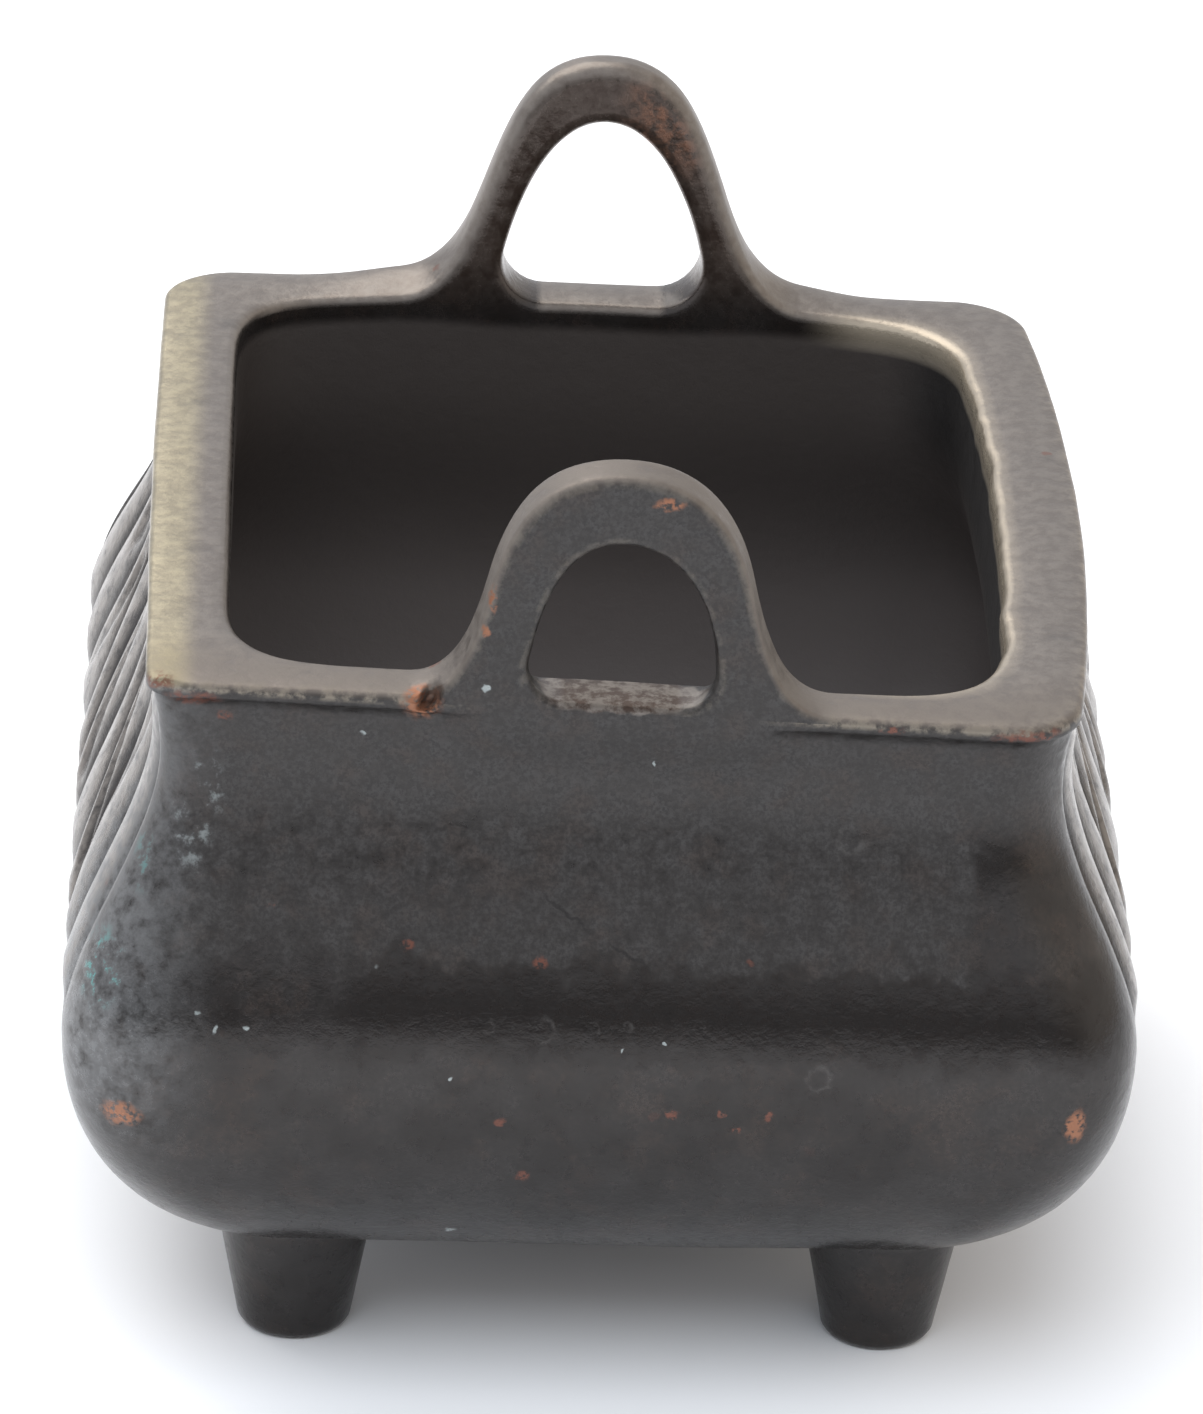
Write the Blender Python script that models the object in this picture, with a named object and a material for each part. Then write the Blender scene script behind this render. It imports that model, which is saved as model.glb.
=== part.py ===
"""Cast bronze incense burner, made in one casting.

A four-sided vessel with a wide mouth, a drawn-in neck and a full belly stands on four short
tapered feet. A loop handle rises from each end of the rim, the back one taller and slimmer.
Long wavy strands stand in low relief on the two sides, and the two ends are plain.
All sizes are in millimetres, and MM turns them into metres. The front end faces -Y.
"""

import math

import bmesh
import bpy
import numpy as np

MM = 0.001

# Mouth, measured over its outer edge, and the rim's height above the ground
MOUTH_WIDTH = 60.0
MOUTH_LENGTH = 66.4
RIM_HEIGHT = 51.2

# The rim as the founder left it: higher on the left, bowed outwards, and its back a little left
FRONT_TILT = 1.1
BACK_TILT = 0.6
RIM_BOW = 2.3
LEFT_BOW = 0.3
BACK_SHIFT = 0.25

# The back rim lifts towards its handle: how much, how far from the middle and over what width,
# what share of it the inner edge keeps, the middle's own lift, and how far forward it fades
BACK_LIFT = 1.2
LIFT_PLACE = 12.0
LIFT_WIDTH = 5.0
LIFT_INSIDE = 0.4
LIFT_MIDDLE = 0.3
LIFT_RANGE = 0.25

# Outer corner radii of the mouth, in order: front right, back right, back left, front left
MOUTH_CORNERS = (4.0, 4.2, 4.8, 1.8)

# Walls at the mouth, and the thickness of the floor
SIDE_WALL = 5.3
END_WALL = 4.3
FLOOR = 4.0

# Rounding of the rim's outer and inner edge, and the lip that stands over the neck
RIM_EDGE = 0.45
INNER_EDGE = 0.5
LIP_DEPTH = 0.8
LIP_OVERHANG = 0.45

# Outer profile: how far the wall lies outside the mouth's outline, and at what height
NECK_DROP = 6.0
NECK_INSET = 0.9
BELLY_HEIGHT = 26.5
BELLY_BULGE = 5.2
BELLY_CORNER = 6.0
UNDERSIDE_INSET = 7.8
UNDERSIDE_CORNER = 7.0
UNDERSIDE_FULLNESS = 2.0

# Opening and inner wall: the inner corners run out slowly, as squared-off curves
INNER_CORNER = 10.0
INNER_FLOOR_CORNER = 8.0
INNER_SQUARENESS = 3.2
INNER_FLOOR_INSET = 10.0
INNER_FULLNESS = 2.2

# Feet: round, tapered and set in from the mouth's outline
FOOT_HEIGHT = 8.4
FOOT_TIP_RADIUS = 3.9
FOOT_TOP_RADIUS = 5.3
FOOT_EDGE = 0.9
FOOT_INSET_SIDE = 10.3
FOOT_INSET_END = 9.7
FOOT_SINK_SHARE = 0.7

# Front handle, seen from the front: outer arch on spreading legs, and the hole
FRONT_HEIGHT = 16.15
FRONT_SHOULDER = 7.9
FRONT_HALF_SPAN = 8.4
FRONT_SPREAD = 1.0
FRONT_REACH = 13.8
FRONT_HOLE_HEIGHT = 11.5
FRONT_HOLE_HALF = 6.1
FRONT_HOLE_CORNER = 1.8
FRONT_HOLE_LEAN = math.radians(5.0)
FRONT_HOLE_SKEW = math.radians(5.0)
FRONT_HOLE_CROWN = 0.66
FRONT_BAR_DEPTH = 3.3
FRONT_OFFSET = 0.4
FRONT_HOLE_SHIFT = 0.1

# Back handle, seen from behind
BACK_HEIGHT = 17.7
BACK_SHOULDER = 8.6
BACK_HALF_SPAN = 8.1
BACK_SPREAD = 1.6
BACK_REACH = 14.2
BACK_HOLE_HEIGHT = 13.4
BACK_HOLE_HALF = 6.95
BACK_HOLE_CORNER = 2.9
BACK_HOLE_LEAN = math.radians(13.0)
BACK_HOLE_SKEW = math.radians(-1.0)
BACK_HOLE_CROWN = 0.52
BACK_BAR_DEPTH = 3.2
BACK_OFFSET = -0.5
BACK_HOLE_SHIFT = 0.0

# Shared form of the handles: the flare's length and the turn of the curves
FLARE_LENGTH = 3.2
LEG_KNEE = 0.43
LEG_SHARE = 0.26
ARCH_RISE = 0.55
ARCH_CROWN = 0.62
HOLE_CORNER_SHARE = 0.12
HOLE_RISE = 0.46

# Strands on the sides: they swing forward on their way down, and swell and narrow
STRANDS = 9
STRAND_RELIEF = 1.0
STRAND_ROUNDNESS = 0.7
STRAND_TOP_DROP = 2.6
STRAND_BOTTOM_RISE = 1.0
STRAND_FADE = 2.0
STRAND_SWING = 3.4
STRAND_SWELL = 1.0
SWELL_TURN = 2.1
SWING_LEAD = 0.25
STRAND_END_TAPER = 3.0

# Fineness of the mesh
LEG_COLUMNS = 4
SILL_COLUMNS = 4
STRAND_COLUMNS = 4
TURN_COLUMNS = 7
TURN_WEIGHT = 4.0
LOWER_ROWS = 5
UPPER_ROWS = 10
INNER_ROWS = 3
HANDLE_RINGS = 18
FOOT_SIDES = 16
FOOT_EDGE_STEPS = 3
CURVE_STEPS = 24
SMALL_STEP = 1e-4
SAME_PLACE = 1e-9
CORNER_ROOM = 0.98
QUARTER_TURN = math.pi / 2.0
SHARP_ANGLE = 40.0

# Levels and column counts that several parts of the form share
NECK_HEIGHT = RIM_HEIGHT - NECK_DROP
FLOOR_TOP = FOOT_HEIGHT + FLOOR
HANDLE_COLUMNS = 2 * LEG_COLUMNS + SILL_COLUMNS + 1
STRIP_COLUMNS = STRANDS * STRAND_COLUMNS
SIDE_COLUMNS = 2 * TURN_COLUMNS + STRIP_COLUMNS + 1
HANDLE_STARTS = (0, HANDLE_COLUMNS + SIDE_COLUMNS)

BRONZE_COLOUR = (0.085, 0.075, 0.066, 1.0)
BRONZE_ROUGHNESS = 0.42
BRONZE_METALLIC = 0.75


def smooth(share):
    """Ease from 0 to 1 with level ends, for a share that may lie outside them."""
    held = np.clip(share, 0.0, 1.0)
    return held * held * (3.0 - 2.0 * held)


def outer_bulge(height):
    """Distance of the outer wall outside the mouth's outline at a height."""
    if height >= BELLY_HEIGHT:
        share = min(1.0, (height - BELLY_HEIGHT) / (NECK_HEIGHT - BELLY_HEIGHT))
        swing = (1.0 + math.cos(math.pi * share)) / 2.0
        return (BELLY_BULGE + NECK_INSET) * swing - NECK_INSET
    share = (BELLY_HEIGHT - height) / (BELLY_HEIGHT - FOOT_HEIGHT)
    return turned_under(share, BELLY_BULGE, UNDERSIDE_INSET, UNDERSIDE_FULLNESS)


def turned_under(share, bulge, inset, fullness):
    """Bulge of a wall that turns from upright (share 0) to level (share 1)."""
    upright = (1.0 - min(1.0, share) ** fullness) ** (1.0 / fullness)
    return upright * (bulge + inset) - inset


def outer_rows():
    """Rows of the outer wall from the underside up to the lip, each its bulge and height."""
    rows = []
    for step in range(LOWER_ROWS):
        turn = QUARTER_TURN * (1.0 - step / LOWER_ROWS)
        share = math.sin(turn) ** (2.0 / UNDERSIDE_FULLNESS)
        height = BELLY_HEIGHT - share * (BELLY_HEIGHT - FOOT_HEIGHT)
        rows.append((outer_bulge(height), height))
    for step in range(UPPER_ROWS + 1):
        height = BELLY_HEIGHT + (NECK_HEIGHT - BELLY_HEIGHT) * step / UPPER_ROWS
        rows.append((outer_bulge(height), height))
    rows.append((-LIP_OVERHANG, RIM_HEIGHT - LIP_DEPTH - LIP_OVERHANG))
    rows.append((0.0, RIM_HEIGHT - LIP_DEPTH))
    return rows


def outer_corners(height):
    """Corner radii of the outer wall at a height: the mouth's own, widening to the belly's."""
    if height >= BELLY_HEIGHT:
        share = smooth((RIM_HEIGHT - height) / (RIM_HEIGHT - BELLY_HEIGHT))
        return [own + (BELLY_CORNER - own) * share for own in MOUTH_CORNERS]
    share = smooth((BELLY_HEIGHT - height) / (BELLY_HEIGHT - FOOT_HEIGHT))
    return [BELLY_CORNER + (UNDERSIDE_CORNER - BELLY_CORNER) * share] * 4


def corner_curve(centre, radius, start, squareness):
    """A quarter turn from the angle start; squareness 2 is a circle, more is squarer."""
    points = []
    for step in range(CURVE_STEPS + 1):
        turn = QUARTER_TURN * step / CURVE_STEPS
        along = math.cos(turn) ** (2.0 / squareness)
        across = math.sin(turn) ** (2.0 / squareness)
        x = along * math.cos(start) - across * math.sin(start)
        y = along * math.sin(start) + across * math.cos(start)
        points.append((centre[0] + radius * x, centre[1] + radius * y))
    return points


def even_points(path, count):
    """Points inside a path, spread evenly by its length and by how much it turns."""
    path = np.array(path)
    steps = np.diff(path, axis=0)
    lengths = np.hypot(steps[:, 0], steps[:, 1])
    keep = lengths > SAME_PLACE
    path = np.vstack([path[:1], path[1:][keep]])
    steps = steps[keep]
    lengths = lengths[keep]
    headings = np.unwrap(np.arctan2(steps[:, 1], steps[:, 0]))
    turns = np.abs(np.diff(headings, prepend=headings[0]))
    travel = np.concatenate([[0.0], np.cumsum(lengths + TURN_WEIGHT * turns)])
    wanted = np.linspace(0.0, travel[-1], count + 2)[1:-1]
    x = np.interp(wanted, travel, path[:, 0])
    y = np.interp(wanted, travel, path[:, 1])
    return list(zip(x, y))


def handle_columns(handle, direction, half_length, spread):
    """Column places across one handle: its left leg, the sill of its hole, its right leg."""
    middle = handle["offset"]
    hole_middle = middle + handle["hole_shift"]
    half_sill = handle["hole_half"] - handle["hole_corner"]
    sill = (hole_middle - half_sill, hole_middle + half_sill)
    places = list(np.linspace(middle - handle["reach"], sill[0], LEG_COLUMNS + 1))
    places += list(np.linspace(sill[0], sill[1], SILL_COLUMNS + 1))[1:]
    places += list(np.linspace(sill[1], middle + handle["reach"], LEG_COLUMNS + 1))[1:]
    return [(direction * place * spread, -direction * half_length) for place in places]


def plan_ring(half_width, half_length, corners, squareness, spread):
    """One level ring of the vessel, counter-clockwise from the front handle's left flare."""
    front = handle_columns(FRONT, 1.0, half_length, spread)
    back = handle_columns(BACK, -1.0, half_length, spread)
    widest = max(abs(x) for x, y in front + back)
    places = [(1, -1), (1, 1), (-1, 1), (-1, -1)]
    turns = []
    for index, (side, end) in enumerate(places):
        radius = min(corners[index], CORNER_ROOM * (half_width - widest))
        centre = (side * (half_width - radius), end * (half_length - radius))
        start = QUARTER_TURN * (index - 1)
        turns.append(corner_curve(centre, radius, start, squareness))
    right = side_columns(front[-1], turns[0], turns[1], back[0])
    left = side_columns(back[-1], turns[2], turns[3], front[0])
    return front + right + back + left


def side_columns(start, first_turn, second_turn, end):
    """Columns from one handle to the other: round a corner, along a side, round a corner."""
    columns = even_points([start] + first_turn, TURN_COLUMNS)
    columns += [first_turn[-1]] + between(first_turn[-1], second_turn[0], STRIP_COLUMNS)
    columns += [second_turn[0]] + even_points(second_turn + [end], TURN_COLUMNS)
    return columns


def strand_shift(place, fall):
    """How far back a strand line lies from its even place, for a share of the way down."""
    swing = STRAND_SWING * math.cos(math.pi * (fall + SWING_LEAD * (fall - 1.0)))
    swell = STRAND_SWELL * math.sin(2.0 * math.pi * fall + SWELL_TURN * place)
    inside = smooth(min(place, STRANDS - place) / STRAND_END_TAPER)
    return inside * (swing + swell)


def strand_span():
    """Heights of the strands' upper and lower ends."""
    return RIM_HEIGHT - STRAND_TOP_DROP, BELLY_HEIGHT + STRAND_BOTTOM_RISE


def strand_lift(place, height):
    """How far the strands lift the wall: crests between whole places, grooves at them."""
    top, bottom = strand_span()
    inside = smooth((height - bottom) / STRAND_FADE)
    inside *= smooth((top - height) / STRAND_FADE)
    crest = abs(math.sin(math.pi * place)) ** STRAND_ROUNDNESS
    return inside * STRAND_RELIEF * (crest - 0.5)


def raise_strands(ring, height):
    """Draw the strands into the two sides of a ring of the outer wall."""
    top, bottom = strand_span()
    fall = float(np.clip((top - height) / (top - bottom), 0.0, 1.0))
    right = HANDLE_COLUMNS + TURN_COLUMNS
    left = right + SIDE_COLUMNS + HANDLE_COLUMNS
    for first, side in ((right, 1.0), (left, -1.0)):
        for step in range(STRIP_COLUMNS + 1):
            place = step / STRAND_COLUMNS
            x, y, z = ring[first + step]
            lift = strand_lift(place, height)
            from_front = place if side > 0.0 else STRANDS - place
            shift = strand_shift(from_front, fall)
            ring[first + step] = (x + side * lift, y + shift, z)


def wall_ring(bulge, height):
    """A ring of the outer wall, with the strands raised on its two sides."""
    half_width = MOUTH_WIDTH / 2 + bulge
    half_length = MOUTH_LENGTH / 2 + bulge
    spread = 2.0 * half_width / MOUTH_WIDTH
    plan = plan_ring(half_width, half_length, outer_corners(height), 2.0, spread)
    ring = [(x, y, height) for x, y in plan]
    raise_strands(ring, height)
    if height > NECK_HEIGHT:
        flush_under_handles(ring, height)
    return ring


def flush_under_handles(ring, height):
    """Let the wall run smoothly up into the handles, with no lip under them."""
    climb = smooth((height - NECK_HEIGHT) / (NECK_DROP - LIP_DEPTH))
    for first, handle, end in zip(HANDLE_STARTS, (FRONT, BACK), (-1.0, 1.0)):
        flare = handle["reach"] - handle["half_span"]
        for column in range(first, first + HANDLE_COLUMNS):
            x, y, z = ring[column]
            out = abs(x + end * handle["offset"]) - handle["half_span"]
            under = 1.0 - smooth(out / flare)
            flush = end * (MOUTH_LENGTH / 2 - NECK_INSET * (1.0 - climb))
            ring[column] = (x, y + (flush - y) * float(under), z)


def rim_crown():
    """Rim section from outside to inside: share of the wall, shift inwards, depth below top."""
    return [
        (0.0, 0.0, RIM_EDGE),
        (0.0, RIM_EDGE, 0.0),
        (1.0, -INNER_EDGE, 0.0),
        (1.0, 0.0, INNER_EDGE),
    ]


def rim_ring(share, shift, drop):
    """A ring of the rim's rounded top."""
    inset_side = share * SIDE_WALL + shift
    inset_end = share * END_WALL + shift
    corners = [own + (INNER_CORNER - own) * share for own in MOUTH_CORNERS]
    squareness = 2.0 + (INNER_SQUARENESS - 2.0) * share
    half_width = MOUTH_WIDTH / 2 - inset_side
    half_length = MOUTH_LENGTH / 2 - inset_end
    plan = plan_ring(half_width, half_length, corners, squareness, 1.0)
    return [(x, y, RIM_HEIGHT - drop) for x, y in plan]


def inner_ring(bulge, height):
    """A ring of the inner wall, which widens below the neck like the outer one."""
    opening = MOUTH_WIDTH / 2 - SIDE_WALL
    half_width = opening + bulge
    half_length = MOUTH_LENGTH / 2 - END_WALL + bulge
    fall = smooth((BELLY_HEIGHT - height) / (BELLY_HEIGHT - FLOOR_TOP))
    corners = [INNER_CORNER + (INNER_FLOOR_CORNER - INNER_CORNER) * fall] * 4
    plan = plan_ring(half_width, half_length, corners, INNER_SQUARENESS, half_width / opening)
    return [(x, y, height) for x, y in plan]


def inner_bulge(height):
    """Distance of the inner wall outside the opening's outline, from the neck to the belly."""
    share = min(1.0, (height - BELLY_HEIGHT) / (NECK_HEIGHT - BELLY_HEIGHT))
    return BELLY_BULGE * (1.0 + math.cos(math.pi * share)) / 2.0


def inner_rows():
    """Rows of the inner wall from under the rim down to the flat floor."""
    rows = []
    for step in range(INNER_ROWS):
        height = NECK_HEIGHT + (BELLY_HEIGHT - NECK_HEIGHT) * step / INNER_ROWS
        rows.append((inner_bulge(height), height))
    for step in range(INNER_ROWS + 1):
        turn = QUARTER_TURN * step / INNER_ROWS
        share = math.sin(turn) ** (2.0 / INNER_FULLNESS)
        height = BELLY_HEIGHT - share * (BELLY_HEIGHT - FLOOR_TOP)
        bulge = turned_under(share, BELLY_BULGE, INNER_FLOOR_INSET - SIDE_WALL, INNER_FULLNESS)
        rows.append((bulge, height))
    return rows


def back_lift(x, y):
    """How much the back rim rises towards the legs of its handle, most at its outer edge."""
    inside = smooth((y - MOUTH_LENGTH / 2 + END_WALL) / END_WALL)
    beside = math.exp(-((abs(x) - LIFT_PLACE) / LIFT_WIDTH) ** 2)
    middle = LIFT_MIDDLE * smooth((LIFT_PLACE - abs(x)) / LIFT_PLACE)
    at_back = smooth((y / (MOUTH_LENGTH / 2 - END_WALL) - 1.0) / LIFT_RANGE + 1.0)
    return at_back * (BACK_LIFT * beside * (LIFT_INSIDE + (1.0 - LIFT_INSIDE) * inside) + middle)


def settle(point):
    """The casting's own unevenness: a tilted rim, bowed sides and a lifted back rim."""
    x, y, z = point
    tilt = FRONT_TILT + (BACK_TILT - FRONT_TILT) * (y / MOUTH_LENGTH + 0.5)
    near_rim = float(smooth((z - BELLY_HEIGHT) / (RIM_HEIGHT - BELLY_HEIGHT)))
    bow = 1.0 - (2.0 * y / MOUTH_LENGTH) ** 2
    tilted = z + near_rim * (back_lift(x, y) - tilt * 2.0 * x / MOUTH_WIDTH)
    outwards = RIM_BOW if x > 0.0 else LEFT_BOW
    bowed = outwards * max(0.0, bow) * max(-1.0, min(1.0, 2.0 * x / MOUTH_WIDTH))
    return x + near_rim * (bowed - BACK_SHIFT * (y / MOUTH_LENGTH + 0.5)), y, tilted


def bezier(points, share):
    """A point of the cubic curve through four control points."""
    t = share
    weights = ((1 - t) ** 3, 3 * t * (1 - t) ** 2, 3 * t * t * (1 - t), t ** 3)
    out = sum(weight * point[0] for weight, point in zip(weights, points))
    up = sum(weight * point[1] for weight, point in zip(weights, points))
    return out, up


def outer_curve(handle, share):
    """Outer outline of a handle, from its left flare (0) over the top (0.5) to its right (1)."""
    side = -1.0 if share < 0.5 else 1.0
    run = min(share, 1.0 - share)
    knee = (handle["half_span"] + handle["spread"], LEG_KNEE * handle["shoulder"])
    joint = (handle["half_span"], handle["shoulder"])
    if run < LEG_SHARE:
        foot = (handle["reach"], 0.0)
        out, up = bezier((foot, (foot[0] - FLARE_LENGTH, 0.0), knee, joint), run / LEG_SHARE)
    else:
        climb = ARCH_RISE * (handle["height"] - joint[1]) / (joint[1] - knee[1])
        lean = (joint[0] + climb * (joint[0] - knee[0]), joint[1] + climb * (joint[1] - knee[1]))
        crest = (ARCH_CROWN * joint[0], handle["height"])
        top = (0.0, handle["height"])
        out, up = bezier((joint, lean, crest, top), (run - LEG_SHARE) / (0.5 - LEG_SHARE))
    return side * out, up


def inner_curve(handle, share):
    """Outline of a handle's hole, from the left end of its sill over the top to the right."""
    side = -1.0 if share < 0.5 else 1.0
    run = min(share, 1.0 - share)
    half = handle["hole_half"]
    corner = handle["hole_corner"]
    lean = handle["hole_lean"] - side * handle["hole_skew"]
    height = handle["hole_height"]
    if run < HOLE_CORNER_SHARE:
        turn = (QUARTER_TURN + lean) * run / HOLE_CORNER_SHARE
        out = half - corner + corner * math.sin(turn)
        up = corner * (1.0 - math.cos(turn))
    else:
        start = (half - corner + corner * math.cos(lean), corner * (1.0 + math.sin(lean)))
        climb = HOLE_RISE * (height - start[1])
        leaned = (start[0] - climb * math.tan(lean), start[1] + climb)
        crest = (handle["hole_crown"] * half, height)
        along = (run - HOLE_CORNER_SHARE) / (0.5 - HOLE_CORNER_SHARE)
        out, up = bezier((start, leaned, crest, (0.0, height)), along)
    return side * out + handle["hole_shift"], up


def curve_normal(curve, handle, share, hollow):
    """Direction away from the metal at a point of a handle's outline, in its own plane."""
    before = curve(handle, share - SMALL_STEP)
    after = curve(handle, share + SMALL_STEP)
    run = math.hypot(after[0] - before[0], after[1] - before[1])
    normal = (-(after[1] - before[1]) / run, (after[0] - before[0]) / run)
    if hollow:
        normal = (-normal[0], -normal[1])
    return normal


def handle_edge(handle, share, curve, hollow):
    """Points across the thickness of a handle, on its outer outline or on its hole's."""
    out, up = curve(handle, share)
    normal = curve_normal(curve, handle, share, hollow)
    rise = up / handle["height"]
    depth = END_WALL + (handle["bar_depth"] - END_WALL) * rise
    edge = []
    for part, shift, drop in rim_crown():
        x = handle["offset"] + out - normal[0] * drop
        z = RIM_HEIGHT + up - normal[1] * drop
        edge.append((x, -MOUTH_LENGTH / 2 + part * depth + shift, z))
    return edge


def between(start, end, count):
    """Points between two others, without the two."""
    shares = [step / count for step in range(1, count)]
    return [tuple(a + (b - a) * share for a, b in zip(start, end)) for share in shares]


def handle_ring(handle, share, direction):
    """One section of a handle: over its outer edge, down its back, under it, up its face."""
    outer = handle_edge(handle, share, outer_curve, False)
    inner = handle_edge(handle, share, inner_curve, True)
    ring = outer + between(outer[-1], inner[-1], LEG_COLUMNS)
    ring += inner[::-1] + between(inner[0], outer[0], LEG_COLUMNS)
    return [(direction * x, direction * y, z) for x, y, z in ring]


FRONT = {
    "height": FRONT_HEIGHT,
    "shoulder": FRONT_SHOULDER,
    "half_span": FRONT_HALF_SPAN,
    "spread": FRONT_SPREAD,
    "reach": FRONT_REACH,
    "hole_height": FRONT_HOLE_HEIGHT,
    "hole_half": FRONT_HOLE_HALF,
    "hole_corner": FRONT_HOLE_CORNER,
    "hole_lean": FRONT_HOLE_LEAN,
    "hole_skew": FRONT_HOLE_SKEW,
    "hole_crown": FRONT_HOLE_CROWN,
    "bar_depth": FRONT_BAR_DEPTH,
    "offset": FRONT_OFFSET,
    "hole_shift": FRONT_HOLE_SHIFT,
}

BACK = {
    "height": BACK_HEIGHT,
    "shoulder": BACK_SHOULDER,
    "half_span": BACK_HALF_SPAN,
    "spread": BACK_SPREAD,
    "reach": BACK_REACH,
    "hole_height": BACK_HOLE_HEIGHT,
    "hole_half": BACK_HOLE_HALF,
    "hole_corner": BACK_HOLE_CORNER,
    "hole_lean": BACK_HOLE_LEAN,
    "hole_skew": BACK_HOLE_SKEW,
    "hole_crown": BACK_HOLE_CROWN,
    "bar_depth": BACK_BAR_DEPTH,
    "offset": BACK_OFFSET,
    "hole_shift": BACK_HOLE_SHIFT,
}


def vessel_rings():
    """All rings of the vessel from the underside, over the rim and down to the inner floor."""
    rings = [wall_ring(bulge, height) for bulge, height in outer_rows()]
    rim_start = len(rings)
    rings += [rim_ring(*section) for section in rim_crown()]
    rings += [inner_ring(bulge, height) for bulge, height in inner_rows()]
    return rings, rim_start


def add_ring(mesh, points):
    """Add one ring's vertices to the mesh."""
    return [mesh.verts.new([value * MM for value in settle(point)]) for point in points]


def add_handle(mesh, rings, rim_start, handle, direction, first):
    """Raise a handle between the two leg patches that the rim's faces leave open."""
    last = rim_start + len(rim_crown()) - 1
    far = first + HANDLE_COLUMNS - 1
    rows = range(rim_start, last + 1)
    rim = rings[rim_start:last + 1]
    ends = []
    for outer, step in ((first, 1), (far, -1)):
        inner = outer + step * LEG_COLUMNS
        ring = [rings[row][outer] for row in rows]
        ring += [rim[-1][column] for column in range(outer + step, inner, step)]
        ring += [rings[row][inner] for row in reversed(rows)]
        ring += [rim[0][column] for column in range(inner - step, outer, -step)]
        ends.append(ring)
    sections = [ends[0]]
    for step in range(1, HANDLE_RINGS):
        sections.append(add_ring(mesh, handle_ring(handle, step / HANDLE_RINGS, direction)))
    sections.append(ends[1])
    for here, there in zip(sections, sections[1:]):
        for place in range(len(here)):
            onward = (place + 1) % len(here)
            mesh.faces.new((here[place], there[place], there[onward], here[onward]))


def leg_columns():
    """Columns of the rim that stand under the handles' legs."""
    covered = set()
    for first in HANDLE_STARTS:
        for leg in (first, first + LEG_COLUMNS + SILL_COLUMNS):
            covered.update(range(leg, leg + LEG_COLUMNS))
    return covered


def vessel_mesh():
    """The vessel with its handles, as one closed mesh."""
    mesh = bmesh.new()
    plan, rim_start = vessel_rings()
    rings = [add_ring(mesh, points) for points in plan]
    covered = leg_columns()
    rim_end = rim_start + len(rim_crown()) - 1
    for row, (below, above) in enumerate(zip(rings, rings[1:])):
        for column in range(len(below)):
            if rim_start <= row < rim_end and column in covered:
                continue
            onward = (column + 1) % len(below)
            mesh.faces.new((below[column], below[onward], above[onward], above[column]))
    mesh.faces.new(rings[0][::-1])
    mesh.faces.new(rings[-1])
    add_handle(mesh, rings, rim_start, FRONT, 1.0, HANDLE_STARTS[0])
    add_handle(mesh, rings, rim_start, BACK, -1.0, HANDLE_STARTS[1])
    return mesh


def foot_profile():
    """Radius and height of a foot, from its flat tip up into the floor of the vessel."""
    sink = FOOT_SINK_SHARE * FLOOR
    slope = (FOOT_TOP_RADIUS - FOOT_TIP_RADIUS) / FOOT_HEIGHT
    profile = []
    for step in range(FOOT_EDGE_STEPS + 1):
        turn = QUARTER_TURN * step / FOOT_EDGE_STEPS
        radius = FOOT_TIP_RADIUS - FOOT_EDGE * (1.0 - math.sin(turn))
        profile.append((radius, FOOT_EDGE * (1.0 - math.cos(turn))))
    profile.append((FOOT_TOP_RADIUS, FOOT_HEIGHT))
    profile.append((FOOT_TOP_RADIUS + slope * sink, FOOT_HEIGHT + sink))
    return profile


def foot_object(side, end):
    """One foot as its own closed body, placed under a corner of the vessel."""
    middle_x = side * (MOUTH_WIDTH / 2 - FOOT_INSET_SIDE)
    middle_y = end * (MOUTH_LENGTH / 2 - FOOT_INSET_END)
    mesh = bmesh.new()
    rings = []
    for radius, height in foot_profile():
        ring = []
        for step in range(FOOT_SIDES):
            turn = 2.0 * math.pi * step / FOOT_SIDES
            x = middle_x + radius * math.cos(turn)
            y = middle_y + radius * math.sin(turn)
            ring.append(mesh.verts.new((x * MM, y * MM, height * MM)))
        rings.append(ring)
    for below, above in zip(rings, rings[1:]):
        for place in range(FOOT_SIDES):
            onward = (place + 1) % FOOT_SIDES
            mesh.faces.new((below[place], below[onward], above[onward], above[place]))
    mesh.faces.new(rings[0][::-1])
    mesh.faces.new(rings[-1])
    return make_object("foot_guide", mesh)


def make_object(name, mesh):
    """Turn a mesh under construction into an object of the scene."""
    data = bpy.data.meshes.new(name)
    mesh.to_mesh(data)
    mesh.free()
    thing = bpy.data.objects.new(name, data)
    bpy.context.scene.collection.objects.link(thing)
    return thing


def bronze():
    """Dark patinated bronze."""
    material = bpy.data.materials.new("bronze")
    material.use_nodes = True
    shader = material.node_tree.nodes["Principled BSDF"]
    shader.inputs["Base Color"].default_value = BRONZE_COLOUR
    shader.inputs["Roughness"].default_value = BRONZE_ROUGHNESS
    shader.inputs["Metallic"].default_value = BRONZE_METALLIC
    return material


def join_foot(vessel, foot):
    """Unite a foot with the vessel, and keep the foot only as a guide."""
    union = vessel.modifiers.new(foot.name, "BOOLEAN")
    union.operation = "UNION"
    union.solver = "EXACT"
    union.object = foot
    foot.hide_render = True
    foot.display_type = "WIRE"


def build():
    """Cast the incense burner."""
    for thing in list(bpy.data.objects):
        bpy.data.objects.remove(thing)
    burner = make_object("incense_burner", vessel_mesh())
    for side in (-1, 1):
        for end in (-1, 1):
            join_foot(burner, foot_object(side, end))
    burner.data.materials.append(bronze())
    burner.data.shade_smooth()
    burner.data.set_sharp_from_angle(angle=math.radians(SHARP_ANGLE))


build()
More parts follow.
